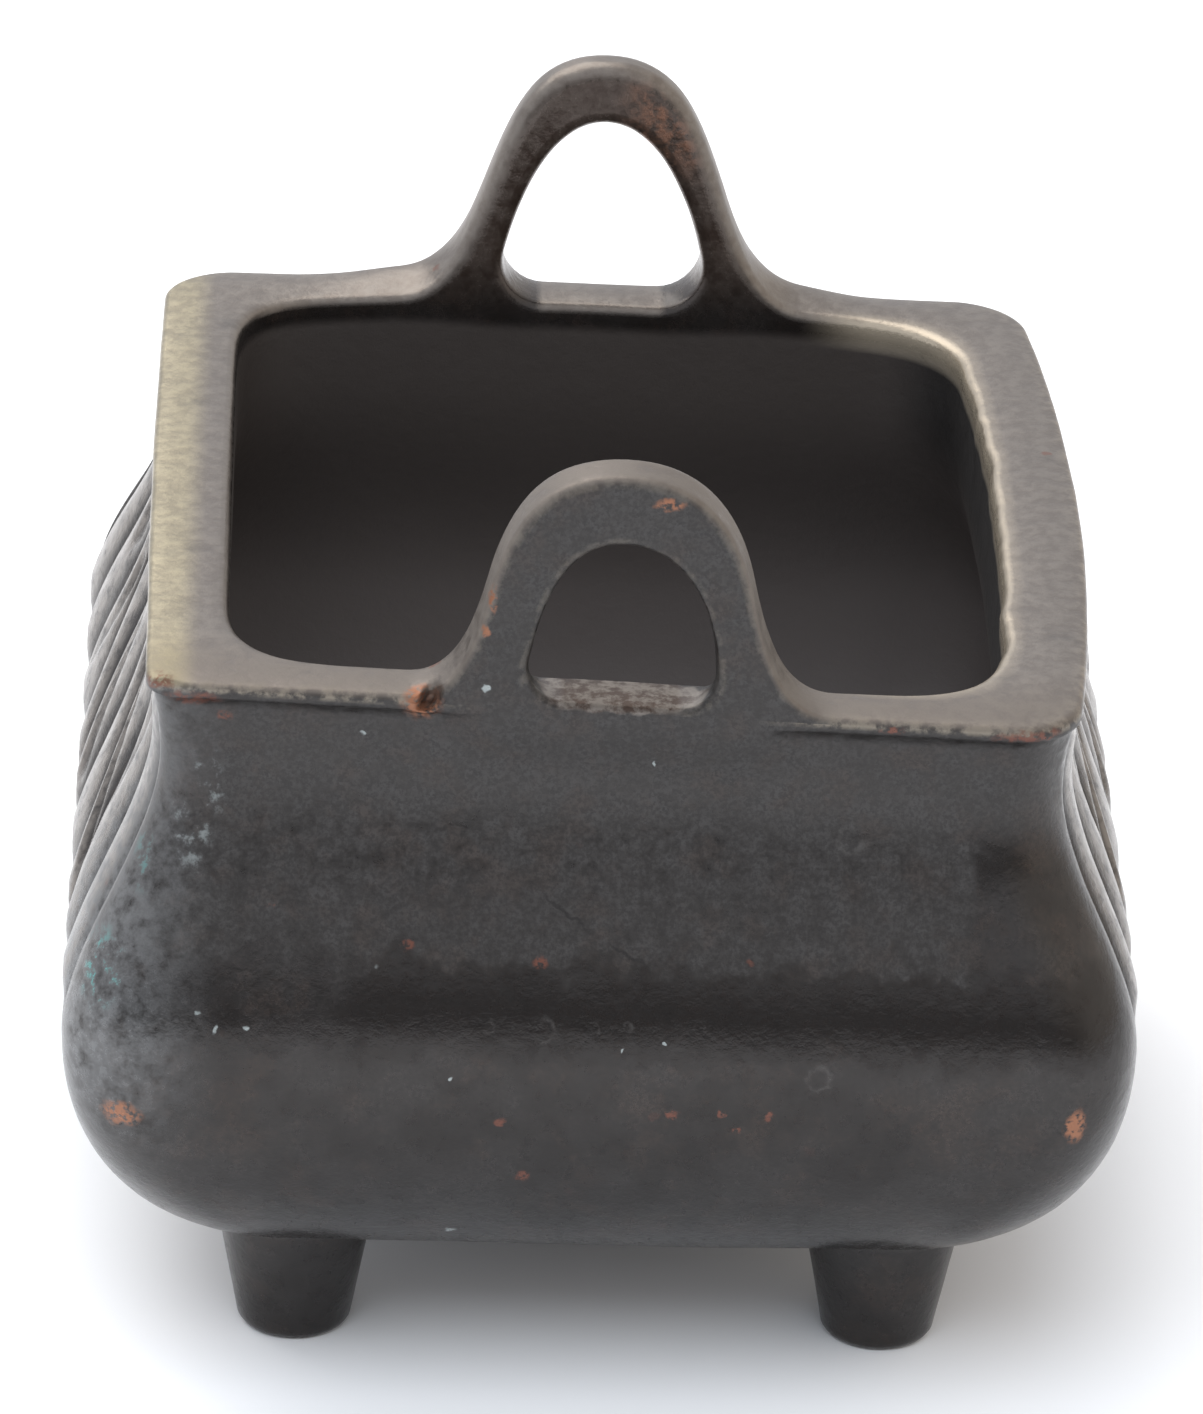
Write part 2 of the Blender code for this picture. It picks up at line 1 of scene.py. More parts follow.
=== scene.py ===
"""Looks of the cast bronze incense burner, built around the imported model.

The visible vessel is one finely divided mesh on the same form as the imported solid: the same
walls, handles, feet and side strands, with the casting's unevenness, chips and a casting hole.
Lengths are in millimetres until a mesh is made. The front end faces -Y.
"""

import math

import bmesh
import bpy
import numpy as np
from mathutils import Matrix, Vector, noise


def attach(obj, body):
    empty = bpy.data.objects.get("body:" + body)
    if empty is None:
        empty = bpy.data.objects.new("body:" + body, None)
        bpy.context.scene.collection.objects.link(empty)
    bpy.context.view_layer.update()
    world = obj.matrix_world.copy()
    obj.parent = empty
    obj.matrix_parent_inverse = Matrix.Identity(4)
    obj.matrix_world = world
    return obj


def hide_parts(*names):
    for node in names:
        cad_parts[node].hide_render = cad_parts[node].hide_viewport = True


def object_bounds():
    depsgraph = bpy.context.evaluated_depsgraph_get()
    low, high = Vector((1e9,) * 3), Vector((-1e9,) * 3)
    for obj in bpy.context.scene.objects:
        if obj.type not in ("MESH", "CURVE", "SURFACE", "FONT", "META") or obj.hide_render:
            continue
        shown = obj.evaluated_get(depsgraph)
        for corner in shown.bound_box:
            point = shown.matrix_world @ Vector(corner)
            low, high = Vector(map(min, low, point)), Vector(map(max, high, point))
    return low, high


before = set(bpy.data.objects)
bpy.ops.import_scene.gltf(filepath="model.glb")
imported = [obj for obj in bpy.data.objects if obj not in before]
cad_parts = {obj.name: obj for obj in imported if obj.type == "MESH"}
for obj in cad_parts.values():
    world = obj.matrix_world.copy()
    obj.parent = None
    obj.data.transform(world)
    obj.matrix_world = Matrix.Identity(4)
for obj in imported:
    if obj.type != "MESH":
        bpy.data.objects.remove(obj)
CAD_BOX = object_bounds()

MM = 0.001
QUARTER_TURN = math.pi / 2.0
FAR = 1e4

# Mouth, measured over its outer edge, and the rim's height above the ground
MOUTH_WIDTH = 60.0
MOUTH_LENGTH = 66.4
RIM_HEIGHT = 51.2

# The rim as the founder left it: higher on the left, bowed outwards, and its back a little left
FRONT_TILT = 1.1
BACK_TILT = 0.6
RIM_BOW = 2.3
LEFT_BOW = 0.3
BACK_SHIFT = 0.25

# The back rim lifts towards its handle: how much, how far from the middle and over what width,
# what share of it the inner edge keeps, the middle's own lift, and how far forward it fades
BACK_LIFT = 1.2
LIFT_PLACE = 12.0
LIFT_WIDTH = 5.0
LIFT_INSIDE = 0.4
LIFT_MIDDLE = 0.3
LIFT_RANGE = 0.25

# Outer corner radii of the mouth, in order: front right, back right, back left, front left
MOUTH_CORNERS = (4.0, 4.2, 4.8, 1.8)

# Walls at the mouth, and the thickness of the floor
SIDE_WALL = 5.3
END_WALL = 4.3
FLOOR = 4.0

# Rounding of the rim, the hump across its top, and the lip that stands over the neck
RIM_EDGE = 0.45
INNER_EDGE = 0.7
RIM_HUMP = 0.12
LIP_DEPTH = 0.8
LIP_OVERHANG = 0.45

# Outer profile: how far the wall lies outside the mouth's outline, and at what height
NECK_DROP = 6.0
NECK_INSET = 0.9
BELLY_HEIGHT = 26.5
BELLY_BULGE = 5.2
BELLY_CORNER = 6.0
UNDERSIDE_INSET = 7.8
UNDERSIDE_CORNER = 7.0
UNDERSIDE_FULLNESS = 2.0

# Opening and inner wall: the inner corners run out slowly, as squared-off curves
INNER_CORNER = 10.0
INNER_FLOOR_CORNER = 8.0
INNER_SQUARENESS = 3.2
INNER_FLOOR_INSET = 10.0
INNER_FULLNESS = 2.2
CORNER_ROOM = 0.98

# Feet: round, tapered and set in from the mouth's outline
FOOT_HEIGHT = 8.4
FOOT_TIP_RADIUS = 3.9
FOOT_TOP_RADIUS = 5.3
FOOT_EDGE = 0.9
FOOT_INSET_SIDE = 10.3
FOOT_INSET_END = 9.7
FOOT_SINK_SHARE = 0.7

# Shared form of the handles: the flare's length and the turn of the curves
FLARE_LENGTH = 3.2
LEG_KNEE = 0.43
LEG_SHARE = 0.26
ARCH_RISE = 0.55
ARCH_CROWN = 0.62
HOLE_CORNER_SHARE = 0.12
HOLE_RISE = 0.46

# How far up a handle its bars reach their full rounding, as a share of its height
ROUNDED_FROM = 0.3

# Strands on the sides: they swing forward on their way down, and swell and narrow
STRANDS = 9
STRAND_RELIEF = 1.0
STRAND_ROUNDNESS = 0.7
STRAND_TOP_DROP = 2.6
STRAND_BOTTOM_RISE = 1.0
STRAND_FADE = 2.0
STRAND_SWING = 3.4
STRAND_SWELL = 1.0
SWELL_TURN = 2.1
SWING_LEAD = 0.25
STRAND_END_TAPER = 3.0

# Fine grooves that split a strand: its place from the front, and where they start and end,
# as shares of the way down
FORKS = (
    (1.42, 0.16, 1.70, 0.62),
    (2.60, 0.30, 2.25, 0.86),
    (3.45, 0.05, 3.75, 0.48),
    (4.62, 0.36, 4.30, 0.92),
    (5.40, 0.10, 5.70, 0.55),
    (6.35, 0.42, 6.62, 0.90),
    (7.58, 0.08, 7.30, 0.60),
)
FORK_DEPTH = 0.45
FORK_WIDTH = 0.085
FORK_FADE = 0.1

# The rough, worn inner edge on the right: a long wave with a finer, weaker one on it
RAGGED_DEPTH = 0.3
RAGGED_SIZE = 4.5
RAGGED_DROP = 5.0
RAGGED_FINER = 3.0
RAGGED_FINE_SHARE = 0.25
RAGGED_SEED = 9.0

# Unevenness of the casting: depth and size of the hollows, from broad to fine
UNEVEN = ((0.16, 17.0), (0.07, 6.0), (0.035, 2.2))
GROUND_FADE = 1.5

# The open casting hole beside the front handle, with a raised lip; EDGE and LIP_PLACE are shares
# of its reach, and DROP is how far it sinks for its depth
CASTING_HOLE = (-11.8, -33.2, 51.5)
HOLE_ACROSS = 0.62
HOLE_UP = 0.85
HOLE_LEAN = 0.5
HOLE_DEPTH = 1.1
HOLE_EDGE = 1.3
HOLE_THROUGH = 2.0
HOLE_LIP = 0.16
HOLE_LIP_PLACE = 1.45
HOLE_LIP_WIDTH = 0.4
HOLE_LIP_THROUGH = 1.5
DROP = 0.5

# The chipped front edge of the rim at its left corner
CHIP_START = (-30.0, -33.2)
CHIP_REACH = 6.0
CHIP_THROUGH = 1.2
CHIP_BELOW = 0.6
CHIP_HEIGHT = 1.4
CHIP_DEPTH = 0.8
CHIP_SIZE = 1.8
CHIP_SHARPNESS = 1.6
CHIP_SEED = 4.0

# The finer mesh round the casting hole
FINE_REACH = 2.4
FINE_CUTS = 3

# Fineness of the mesh
LEG_COLUMNS = 14
SILL_COLUMNS = 20
STRAND_COLUMNS = 16
TURN_COLUMNS = 34
TURN_WEIGHT = 4.0
LOWER_ROWS = 26
UPPER_ROWS = 46
LIP_ROWS = 3
EDGE_ROWS = 4
CROWN_ROWS = 6
INNER_ROWS = 12
FILL_ROWS = 5
HANDLE_RINGS = 84
FOOT_SIDES = 48
FOOT_ROWS = 10
CURVE_STEPS = 48
SMALL_STEP = 1e-4
SAME_PLACE = 1e-9

# Levels and column counts that several parts of the form share
NECK_HEIGHT = RIM_HEIGHT - NECK_DROP
FLOOR_TOP = FOOT_HEIGHT + FLOOR
HANDLE_COLUMNS = 2 * LEG_COLUMNS + SILL_COLUMNS + 1
STRIP_COLUMNS = STRANDS * STRAND_COLUMNS
SIDE_COLUMNS = 2 * TURN_COLUMNS + STRIP_COLUMNS + 1
HANDLE_STARTS = (0, HANDLE_COLUMNS + SIDE_COLUMNS)

# How worn a handle's edges are, and how strong their painted highlight, as a share of the rim's wear
HANDLE_WEAR = 0.25

# Marks that the mesh carries for its finish
MARKS = ("top", "outer_edge", "inner_edge", "hollow", "inside")

FRONT = {
    "height": 16.15,
    "shoulder": 7.9,
    "half_span": 8.4,
    "spread": 1.0,
    "reach": 13.8,
    "hole_height": 11.5,
    "hole_half": 6.1,
    "hole_corner": 2.5,
    "hole_far_corner": 0.9,
    "hole_lean": math.radians(5.0),
    "hole_skew": math.radians(5.0),
    "hole_crown": 0.66,
    "bar_depth": 3.3,
    "offset": 0.4,
    "hole_shift": 0.1,
    "rounding": 0.5,
    "hole_rounding": 0.35,
}

BACK = {
    "height": 17.7,
    "shoulder": 8.6,
    "half_span": 8.1,
    "spread": 1.6,
    "reach": 14.2,
    "hole_height": 13.4,
    "hole_half": 6.95,
    "hole_corner": 2.9,
    "hole_far_corner": 2.9,
    "hole_lean": math.radians(13.0),
    "hole_skew": math.radians(-1.0),
    "hole_crown": 0.52,
    "bar_depth": 3.2,
    "offset": -0.5,
    "hole_shift": 0.0,
    "rounding": 1.15,
    "hole_rounding": 0.9,
}


def smooth(share):
    """Ease from 0 to 1 with level ends, for a share that may lie outside them."""
    held = np.clip(share, 0.0, 1.0)
    return held * held * (3.0 - 2.0 * held)


def outer_bulge(height):
    """Distance of the outer wall outside the mouth's outline at a height."""
    if height >= BELLY_HEIGHT:
        share = min(1.0, (height - BELLY_HEIGHT) / (NECK_HEIGHT - BELLY_HEIGHT))
        swing = (1.0 + math.cos(math.pi * share)) / 2.0
        return (BELLY_BULGE + NECK_INSET) * swing - NECK_INSET
    share = (BELLY_HEIGHT - height) / (BELLY_HEIGHT - FOOT_HEIGHT)
    return turned_under(share, BELLY_BULGE, UNDERSIDE_INSET, UNDERSIDE_FULLNESS)


def turned_under(share, bulge, inset, fullness):
    """Bulge of a wall that turns from upright (share 0) to level (share 1)."""
    upright = (1.0 - min(1.0, share) ** fullness) ** (1.0 / fullness)
    return upright * (bulge + inset) - inset


def outer_rows():
    """Rows of the outer wall from the underside up to the lip, each its bulge and height."""
    rows = []
    for step in range(LOWER_ROWS):
        turn = QUARTER_TURN * (1.0 - step / LOWER_ROWS)
        share = math.sin(turn) ** (2.0 / UNDERSIDE_FULLNESS)
        height = BELLY_HEIGHT - share * (BELLY_HEIGHT - FOOT_HEIGHT)
        rows.append((outer_bulge(height), height))
    for step in range(UPPER_ROWS + 1):
        height = BELLY_HEIGHT + (NECK_HEIGHT - BELLY_HEIGHT) * step / UPPER_ROWS
        rows.append((outer_bulge(height), height))
    under_lip = RIM_HEIGHT - LIP_DEPTH - LIP_OVERHANG
    for step in range(1, 2 * LIP_ROWS + 1):
        share = step / (2 * LIP_ROWS)
        height = NECK_HEIGHT + (under_lip - NECK_HEIGHT) * share
        rows.append((-NECK_INSET + (NECK_INSET - LIP_OVERHANG) * share ** 2, height))
    for step in range(1, LIP_ROWS + 1):
        turn = QUARTER_TURN * step / LIP_ROWS
        bulge = -LIP_OVERHANG * (1.0 - math.sin(turn))
        rows.append((bulge, under_lip + LIP_OVERHANG * (1.0 - math.cos(turn))))
    return rows


def outer_corners(height):
    """Corner radii of the outer wall at a height: the mouth's own, widening to the belly's."""
    if height >= BELLY_HEIGHT:
        share = smooth((RIM_HEIGHT - height) / (RIM_HEIGHT - BELLY_HEIGHT))
        return [own + (BELLY_CORNER - own) * share for own in MOUTH_CORNERS]
    share = smooth((BELLY_HEIGHT - height) / (BELLY_HEIGHT - FOOT_HEIGHT))
    return [BELLY_CORNER + (UNDERSIDE_CORNER - BELLY_CORNER) * share] * 4


def corner_curve(centre, radius, start, squareness):
    """A quarter turn from the angle start; squareness 2 is a circle, more is squarer."""
    points = []
    for step in range(CURVE_STEPS + 1):
        turn = QUARTER_TURN * step / CURVE_STEPS
        along = abs(math.cos(turn)) ** (2.0 / squareness)
        across = math.sin(turn) ** (2.0 / squareness)
        x = along * math.cos(start) - across * math.sin(start)
        y = along * math.sin(start) + across * math.cos(start)
        points.append((centre[0] + radius * x, centre[1] + radius * y))
    return points


def even_points(path, count):
    """Points inside a path, spread evenly by its length and by how much it turns."""
    path = np.array(path)
    steps = np.diff(path, axis=0)
    lengths = np.hypot(steps[:, 0], steps[:, 1])
    keep = lengths > SAME_PLACE
    path = np.vstack([path[:1], path[1:][keep]])
    steps = steps[keep]
    lengths = lengths[keep]
    headings = np.unwrap(np.arctan2(steps[:, 1], steps[:, 0]))
    turns = np.abs(np.diff(headings, prepend=headings[0]))
    travel = np.concatenate([[0.0], np.cumsum(lengths + TURN_WEIGHT * turns)])
    wanted = np.linspace(0.0, travel[-1], count + 2)[1:-1]
    x = np.interp(wanted, travel, path[:, 0])
    y = np.interp(wanted, travel, path[:, 1])
    return list(zip(x, y))


def between(start, end, count):
    """Points between two others, without the two."""
    shares = [step / count for step in range(1, count)]
    return [tuple(a + (b - a) * share for a, b in zip(start, end)) for share in shares]


def handle_columns(handle, direction, half_length, spread):
    """Column places across one handle: its left leg, the sill of its hole, its right leg."""
    middle = handle["offset"]
    hole_middle = middle + handle["hole_shift"]
    half_sill = handle["hole_half"] - handle["hole_corner"]
    sill = (hole_middle - half_sill, hole_middle + half_sill)
    places = list(np.linspace(middle - handle["reach"], sill[0], LEG_COLUMNS + 1))
    places += list(np.linspace(sill[0], sill[1], SILL_COLUMNS + 1))[1:]
    places += list(np.linspace(sill[1], middle + handle["reach"], LEG_COLUMNS + 1))[1:]
    return [(direction * place * spread, -direction * half_length) for place in places]


def plan_ring(half_width, half_length, corners, squareness, spread):
    """One level ring of the vessel, counter-clockwise from the front handle's left flare."""
    front = handle_columns(FRONT, 1.0, half_length, spread)
    back = handle_columns(BACK, -1.0, half_length, spread)
    widest = max(abs(x) for x, y in front + back)
    places = [(1, -1), (1, 1), (-1, 1), (-1, -1)]
    turns = []
    for index, (side, end) in enumerate(places):
        radius = min(corners[index], CORNER_ROOM * (half_width - widest))
        centre = (side * (half_width - radius), end * (half_length - radius))
        start = QUARTER_TURN * (index - 1)
        turns.append(corner_curve(centre, radius, start, squareness))
    right = side_columns(front[-1], turns[0], turns[1], back[0])
    left = side_columns(back[-1], turns[2], turns[3], front[0])
    return front + right + back + left


def side_columns(start, first_turn, second_turn, end):
    """Columns from one handle to the other: round a corner, along a side, round a corner."""
    columns = even_points([start] + first_turn, TURN_COLUMNS)
    columns += [first_turn[-1]] + between(first_turn[-1], second_turn[0], STRIP_COLUMNS)
    columns += [second_turn[0]] + even_points(second_turn + [end], TURN_COLUMNS)
    return columns


def strand_span():
    """Heights of the strands' upper and lower ends."""
    return RIM_HEIGHT - STRAND_TOP_DROP, BELLY_HEIGHT + STRAND_BOTTOM_RISE


def strand_shift(place, fall):
    """How far back a strand line lies from its even place, for a share of the way down."""
    swing = STRAND_SWING * math.cos(math.pi * (fall + SWING_LEAD * (fall - 1.0)))
    swell = STRAND_SWELL * math.sin(2.0 * math.pi * fall + SWELL_TURN * place)
    inside = smooth(min(place, STRANDS - place) / STRAND_END_TAPER)
    return inside * (swing + swell)


def strand_lift(place, height):
    """How far the strands lift the wall: crests between whole places, grooves at them."""
    top, bottom = strand_span()
    inside = smooth((height - bottom) / STRAND_FADE)
    inside *= smooth((top - height) / STRAND_FADE)
    crest = abs(math.sin(math.pi * place)) ** STRAND_ROUNDNESS
    return inside * STRAND_RELIEF * (crest - 0.5)


def fork_cut(place, fall):
    """Depth of the fine grooves that split the strands, at a place and share of the way down."""
    cut = 0.0
    for start_place, start, end_place, end in FORKS:
        run = (fall - start) / (end - start)
        line = start_place + (end_place - start_place) * smooth(run)
        inside = smooth((fall - start) / FORK_FADE) * smooth((end - fall) / FORK_FADE)
        cut = max(cut, inside * math.exp(-((place - line) / FORK_WIDTH) ** 2))
    return FORK_DEPTH * cut


def raise_strands(ring, height):
    """Draw the strands into the two sides of a ring, and give how hollow each point lies.

    A crest is -1 and a groove 1.
    """
    top, bottom = strand_span()
    fall = float(np.clip((top - height) / (top - bottom), 0.0, 1.0))
    right = HANDLE_COLUMNS + TURN_COLUMNS
    left = right + SIDE_COLUMNS + HANDLE_COLUMNS
    hollows = [0.0] * len(ring)
    for first, side in ((right, 1.0), (left, -1.0)):
        for step in range(STRIP_COLUMNS + 1):
            place = step / STRAND_COLUMNS
            x, y, z = ring[first + step]
            from_front = place if side > 0.0 else STRANDS - place
            lift = strand_lift(place, height) - fork_cut(from_front, fall)
            shift = strand_shift(from_front, fall)
            ring[first + step] = (x + side * lift, y + shift, z)
            hollows[first + step] = -lift / (STRAND_RELIEF / 2)
    return hollows


def wall_ring(bulge, height):
    """A ring of the outer wall, with the strands raised on its two sides."""
    half_width = MOUTH_WIDTH / 2 + bulge
    half_length = MOUTH_LENGTH / 2 + bulge
    spread = 2.0 * half_width / MOUTH_WIDTH
    plan = plan_ring(half_width, half_length, outer_corners(height), 2.0, spread)
    ring = [(x, y, height) for x, y in plan]
    hollows = raise_strands(ring, height)
    if height > NECK_HEIGHT:
        flush_under_handles(ring, height)
    return ring, [(0.0, 0.0, 0.0, hollow, 0.0) for hollow in hollows]


def under_handles(ring):
    """How far each point of a ring lies under a handle: 0 outside, 1 below its legs and hole."""
    shares = [0.0] * len(ring)
    for first, handle, end in zip(HANDLE_STARTS, (FRONT, BACK), (-1.0, 1.0)):
        flare = handle["reach"] - handle["half_span"]
        for column in range(first, first + HANDLE_COLUMNS):
            out = abs(ring[column][0] + end * handle["offset"]) - handle["half_span"]
            shares[column] = 1.0 - float(smooth(out / flare))
    return shares


def flush_under_handles(ring, height):
    """Let the wall run smoothly up into the handles, with no lip under them."""
    climb = float(smooth((height - NECK_HEIGHT) / (NECK_DROP - LIP_DEPTH)))
    for column, under in enumerate(under_handles(ring)):
        x, y, z = ring[column]
        flush = math.copysign(MOUTH_LENGTH / 2 - NECK_INSET * (1.0 - climb), y)
        ring[column] = (x, y + (flush - y) * under, z)


def crown(outer_edge, inner_edge, hump):
    """Rim section from outside to inside: share of the wall, shift inwards, depth below top."""
    rows = []
    for step in range(EDGE_ROWS + 1):
        turn = QUARTER_TURN * step / EDGE_ROWS
        rows.append((0.0, outer_edge * (1.0 - math.cos(turn)), outer_edge * (1.0 - math.sin(turn))))
    for step in range(1, CROWN_ROWS):
        share = step / CROWN_ROWS
        shift = outer_edge * (1.0 - share) - inner_edge * share
        rows.append((share, shift, -hump * math.sin(math.pi * share)))
    for step in range(EDGE_ROWS + 1):
        turn = QUARTER_TURN * (1.0 - step / EDGE_ROWS)
        drop = inner_edge * (1.0 - math.sin(turn))
        rows.append((1.0, -inner_edge * (1.0 - math.cos(turn)), drop))
    return rows


def crown_marks():
    """What the finish has to know of each row of the crown: top, outer edge, inner edge."""
    last = 2 * EDGE_ROWS + CROWN_ROWS
    marks = []
    for row in range(last + 1):
        top = min(1.0, 2.0 * row / EDGE_ROWS, 2.0 * (last - row) / EDGE_ROWS)
        outer = max(0.0, 1.0 - row / (EDGE_ROWS + 1))
        inner = max(0.0, 1.0 - (last - row) / (EDGE_ROWS + 1))
        marks.append((top, outer, inner, 0.0, 0.0))
    return marks


def rim_ring(share, shift, drop):
    """A ring of the rim's rounded top."""
    inset_side = share * SIDE_WALL + shift
    inset_end = share * END_WALL + shift
    corners = [own + (INNER_CORNER - own) * share for own in MOUTH_CORNERS]
    squareness = 2.0 + (INNER_SQUARENESS - 2.0) * share
    half_width = MOUTH_WIDTH / 2 - inset_side
    half_length = MOUTH_LENGTH / 2 - inset_end
    plan = plan_ring(half_width, half_length, corners, squareness, 1.0)
    return [ragged((x, y, RIM_HEIGHT - drop), share) for x, y in plan]


def ragged(point, strength):
    """Wear the inner edge on the right into a rough, wavy line."""
    x, y, z = point
    if x <= 0.0:
        return point
    along = 1.0 - smooth((abs(y) - MOUTH_LENGTH / 4) / (MOUTH_LENGTH / 4))
    wave = noise.noise(Vector((0.0, y / RAGGED_SIZE, 0.0)))
    finer = Vector((RAGGED_SEED, RAGGED_FINER * y / RAGGED_SIZE, z / RAGGED_SIZE))
    wave += RAGGED_FINE_SHARE * noise.noise(finer)
    at_right = smooth(4.0 * x / MOUTH_WIDTH - 0.5)
    return x + RAGGED_DEPTH * strength * along * wave * at_right, y, z


def inner_ring(bulge, height):
    """A ring of the inner wall, which widens below the neck like the outer one."""
    opening = MOUTH_WIDTH / 2 - SIDE_WALL
    half_width = opening + bulge
    half_length = MOUTH_LENGTH / 2 - END_WALL + bulge
    fall = smooth((BELLY_HEIGHT - height) / (BELLY_HEIGHT - FLOOR_TOP))
    corners = [INNER_CORNER + (INNER_FLOOR_CORNER - INNER_CORNER) * fall] * 4
    plan = plan_ring(half_width, half_length, corners, INNER_SQUARENESS, half_width / opening)
    near_rim = float(smooth(1.0 - (RIM_HEIGHT - height) / RAGGED_DROP))
    ring = [ragged((x, y, height), near_rim) for x, y in plan]
    return ring, [(0.0, 0.0, 0.0, 0.0, 1.0)] * len(ring)


def inner_bulge(height):
    """Distance of the inner wall outside the opening's outline, from the neck to the belly."""
    share = min(1.0, (height - BELLY_HEIGHT) / (NECK_HEIGHT - BELLY_HEIGHT))
    return BELLY_BULGE * (1.0 + math.cos(math.pi * share)) / 2.0


def inner_rows():
    """Rows of the inner wall from under the rim down to the flat floor."""
    rows = []
    for step in range(1, LIP_ROWS):
        rows.append((0.0, RIM_HEIGHT - INNER_EDGE - (NECK_DROP - INNER_EDGE) * step / LIP_ROWS))
    for step in range(INNER_ROWS):
        height = NECK_HEIGHT + (BELLY_HEIGHT - NECK_HEIGHT) * step / INNER_ROWS
        rows.append((inner_bulge(height), height))
    for step in range(INNER_ROWS + 1):
        turn = QUARTER_TURN * step / INNER_ROWS
        share = math.sin(turn) ** (2.0 / INNER_FULLNESS)
        height = BELLY_HEIGHT - share * (BELLY_HEIGHT - FLOOR_TOP)
        bulge = turned_under(share, BELLY_BULGE, INNER_FLOOR_INSET - SIDE_WALL, INNER_FULLNESS)
        rows.append((bulge, height))
    return rows


def shrunk_rings(level):
    """Rings inside a level ring, closing in on its middle."""
    ring, marks = level
    shares = [1.0 - step / (FILL_ROWS + 1) for step in range(1, FILL_ROWS + 1)]
    return [([(x * share, y * share, z) for x, y, z in ring], marks) for share in shares]


def back_lift(x, y):
    """How much the back rim rises towards the legs of its handle, most at its outer edge."""
    inside = smooth((y - MOUTH_LENGTH / 2 + END_WALL) / END_WALL)
    beside = math.exp(-((abs(x) - LIFT_PLACE) / LIFT_WIDTH) ** 2)
    middle = LIFT_MIDDLE * smooth((LIFT_PLACE - abs(x)) / LIFT_PLACE)
    at_back = smooth((y / (MOUTH_LENGTH / 2 - END_WALL) - 1.0) / LIFT_RANGE + 1.0)
    return at_back * (BACK_LIFT * beside * (LIFT_INSIDE + (1.0 - LIFT_INSIDE) * inside) + middle)


def settle(point):
    """The casting's own unevenness: a tilted rim, bowed sides and a lifted back rim."""
    x, y, z = point
    tilt = FRONT_TILT + (BACK_TILT - FRONT_TILT) * (y / MOUTH_LENGTH + 0.5)
    near_rim = float(smooth((z - BELLY_HEIGHT) / (RIM_HEIGHT - BELLY_HEIGHT)))
    bow = 1.0 - (2.0 * y / MOUTH_LENGTH) ** 2
    tilted = z + near_rim * (back_lift(x, y) - tilt * 2.0 * x / MOUTH_WIDTH)
    outwards = RIM_BOW if x > 0.0 else LEFT_BOW
    bowed = outwards * max(0.0, bow) * max(-1.0, min(1.0, 2.0 * x / MOUTH_WIDTH))
    return x + near_rim * (bowed - BACK_SHIFT * (y / MOUTH_LENGTH + 0.5)), y, tilted


def bezier(points, t):
    """A point of the cubic curve through four control points, at t from 0 to 1."""
    weights = ((1 - t) ** 3, 3 * t * (1 - t) ** 2, 3 * t * t * (1 - t), t ** 3)
    out = sum(weight * point[0] for weight, point in zip(weights, points))
    up = sum(weight * point[1] for weight, point in zip(weights, points))
    return out, up


def outer_curve(handle, share, depth):
    """Outer outline of a handle, from its left flare (0) over the top (0.5) to its right (1).

    It is the same at every depth.
    """
    side = -1.0 if share < 0.5 else 1.0
    run = min(share, 1.0 - share)
    knee = (handle["half_span"] + handle["spread"], LEG_KNEE * handle["shoulder"])
    joint = (handle["half_span"], handle["shoulder"])
    if run < LEG_SHARE:
        foot = (handle["reach"], 0.0)
        out, up = bezier((foot, (foot[0] - FLARE_LENGTH, 0.0), knee, joint), run / LEG_SHARE)
    else:
        climb = ARCH_RISE * (handle["height"] - joint[1]) / (joint[1] - knee[1])
        lean = (joint[0] + climb * (joint[0] - knee[0]), joint[1] + climb * (joint[1] - knee[1]))
        crest = (ARCH_CROWN * joint[0], handle["height"])
        top = (0.0, handle["height"])
        out, up = bezier((joint, lean, crest, top), (run - LEG_SHARE) / (0.5 - LEG_SHARE))
    return side * out, up


def inner_curve(handle, share, depth):
    """Outline of a handle's hole, from the left end of its sill over the top to the right.

    The corners over the sill are rounder in the outer face (depth 0) than in the inner (1).
    """
    side = -1.0 if share < 0.5 else 1.0
    run = min(share, 1.0 - share)
    half = handle["hole_half"]
    corner = handle["hole_corner"] + (handle["hole_far_corner"] - handle["hole_corner"]) * depth
    flat = handle["hole_corner"] - corner
    lean = handle["hole_lean"] - side * handle["hole_skew"]
    height = handle["hole_height"]
    if run < HOLE_CORNER_SHARE:
        arc = (QUARTER_TURN + lean) * corner
        gone = (flat + arc) * run / HOLE_CORNER_SHARE
        turn = max(0.0, gone - flat) / corner
        out = half - corner - flat + min(gone, flat) + corner * math.sin(turn)
        up = corner * (1.0 - math.cos(turn))
    else:
        start = (half - corner + corner * math.cos(lean), corner * (1.0 + math.sin(lean)))
        climb = HOLE_RISE * (height - start[1])
        leaned = (start[0] - climb * math.tan(lean), start[1] + climb)
        crest = (handle["hole_crown"] * half, height)
        along = (run - HOLE_CORNER_SHARE) / (0.5 - HOLE_CORNER_SHARE)
        out, up = bezier((start, leaned, crest, (0.0, height)), along)
    return side * out + handle["hole_shift"], up


def curve_normal(curve, handle, share, depth, hollow):
    """Direction away from the metal at a point of a handle's outline, in its own plane."""
    before = curve(handle, max(0.0, share - SMALL_STEP), depth)
    after = curve(handle, min(1.0, share + SMALL_STEP), depth)
    run = math.hypot(after[0] - before[0], after[1] - before[1])
    normal = (-(after[1] - before[1]) / run, (after[0] - before[0]) / run)
    if hollow:
        normal = (-normal[0], -normal[1])
    return normal


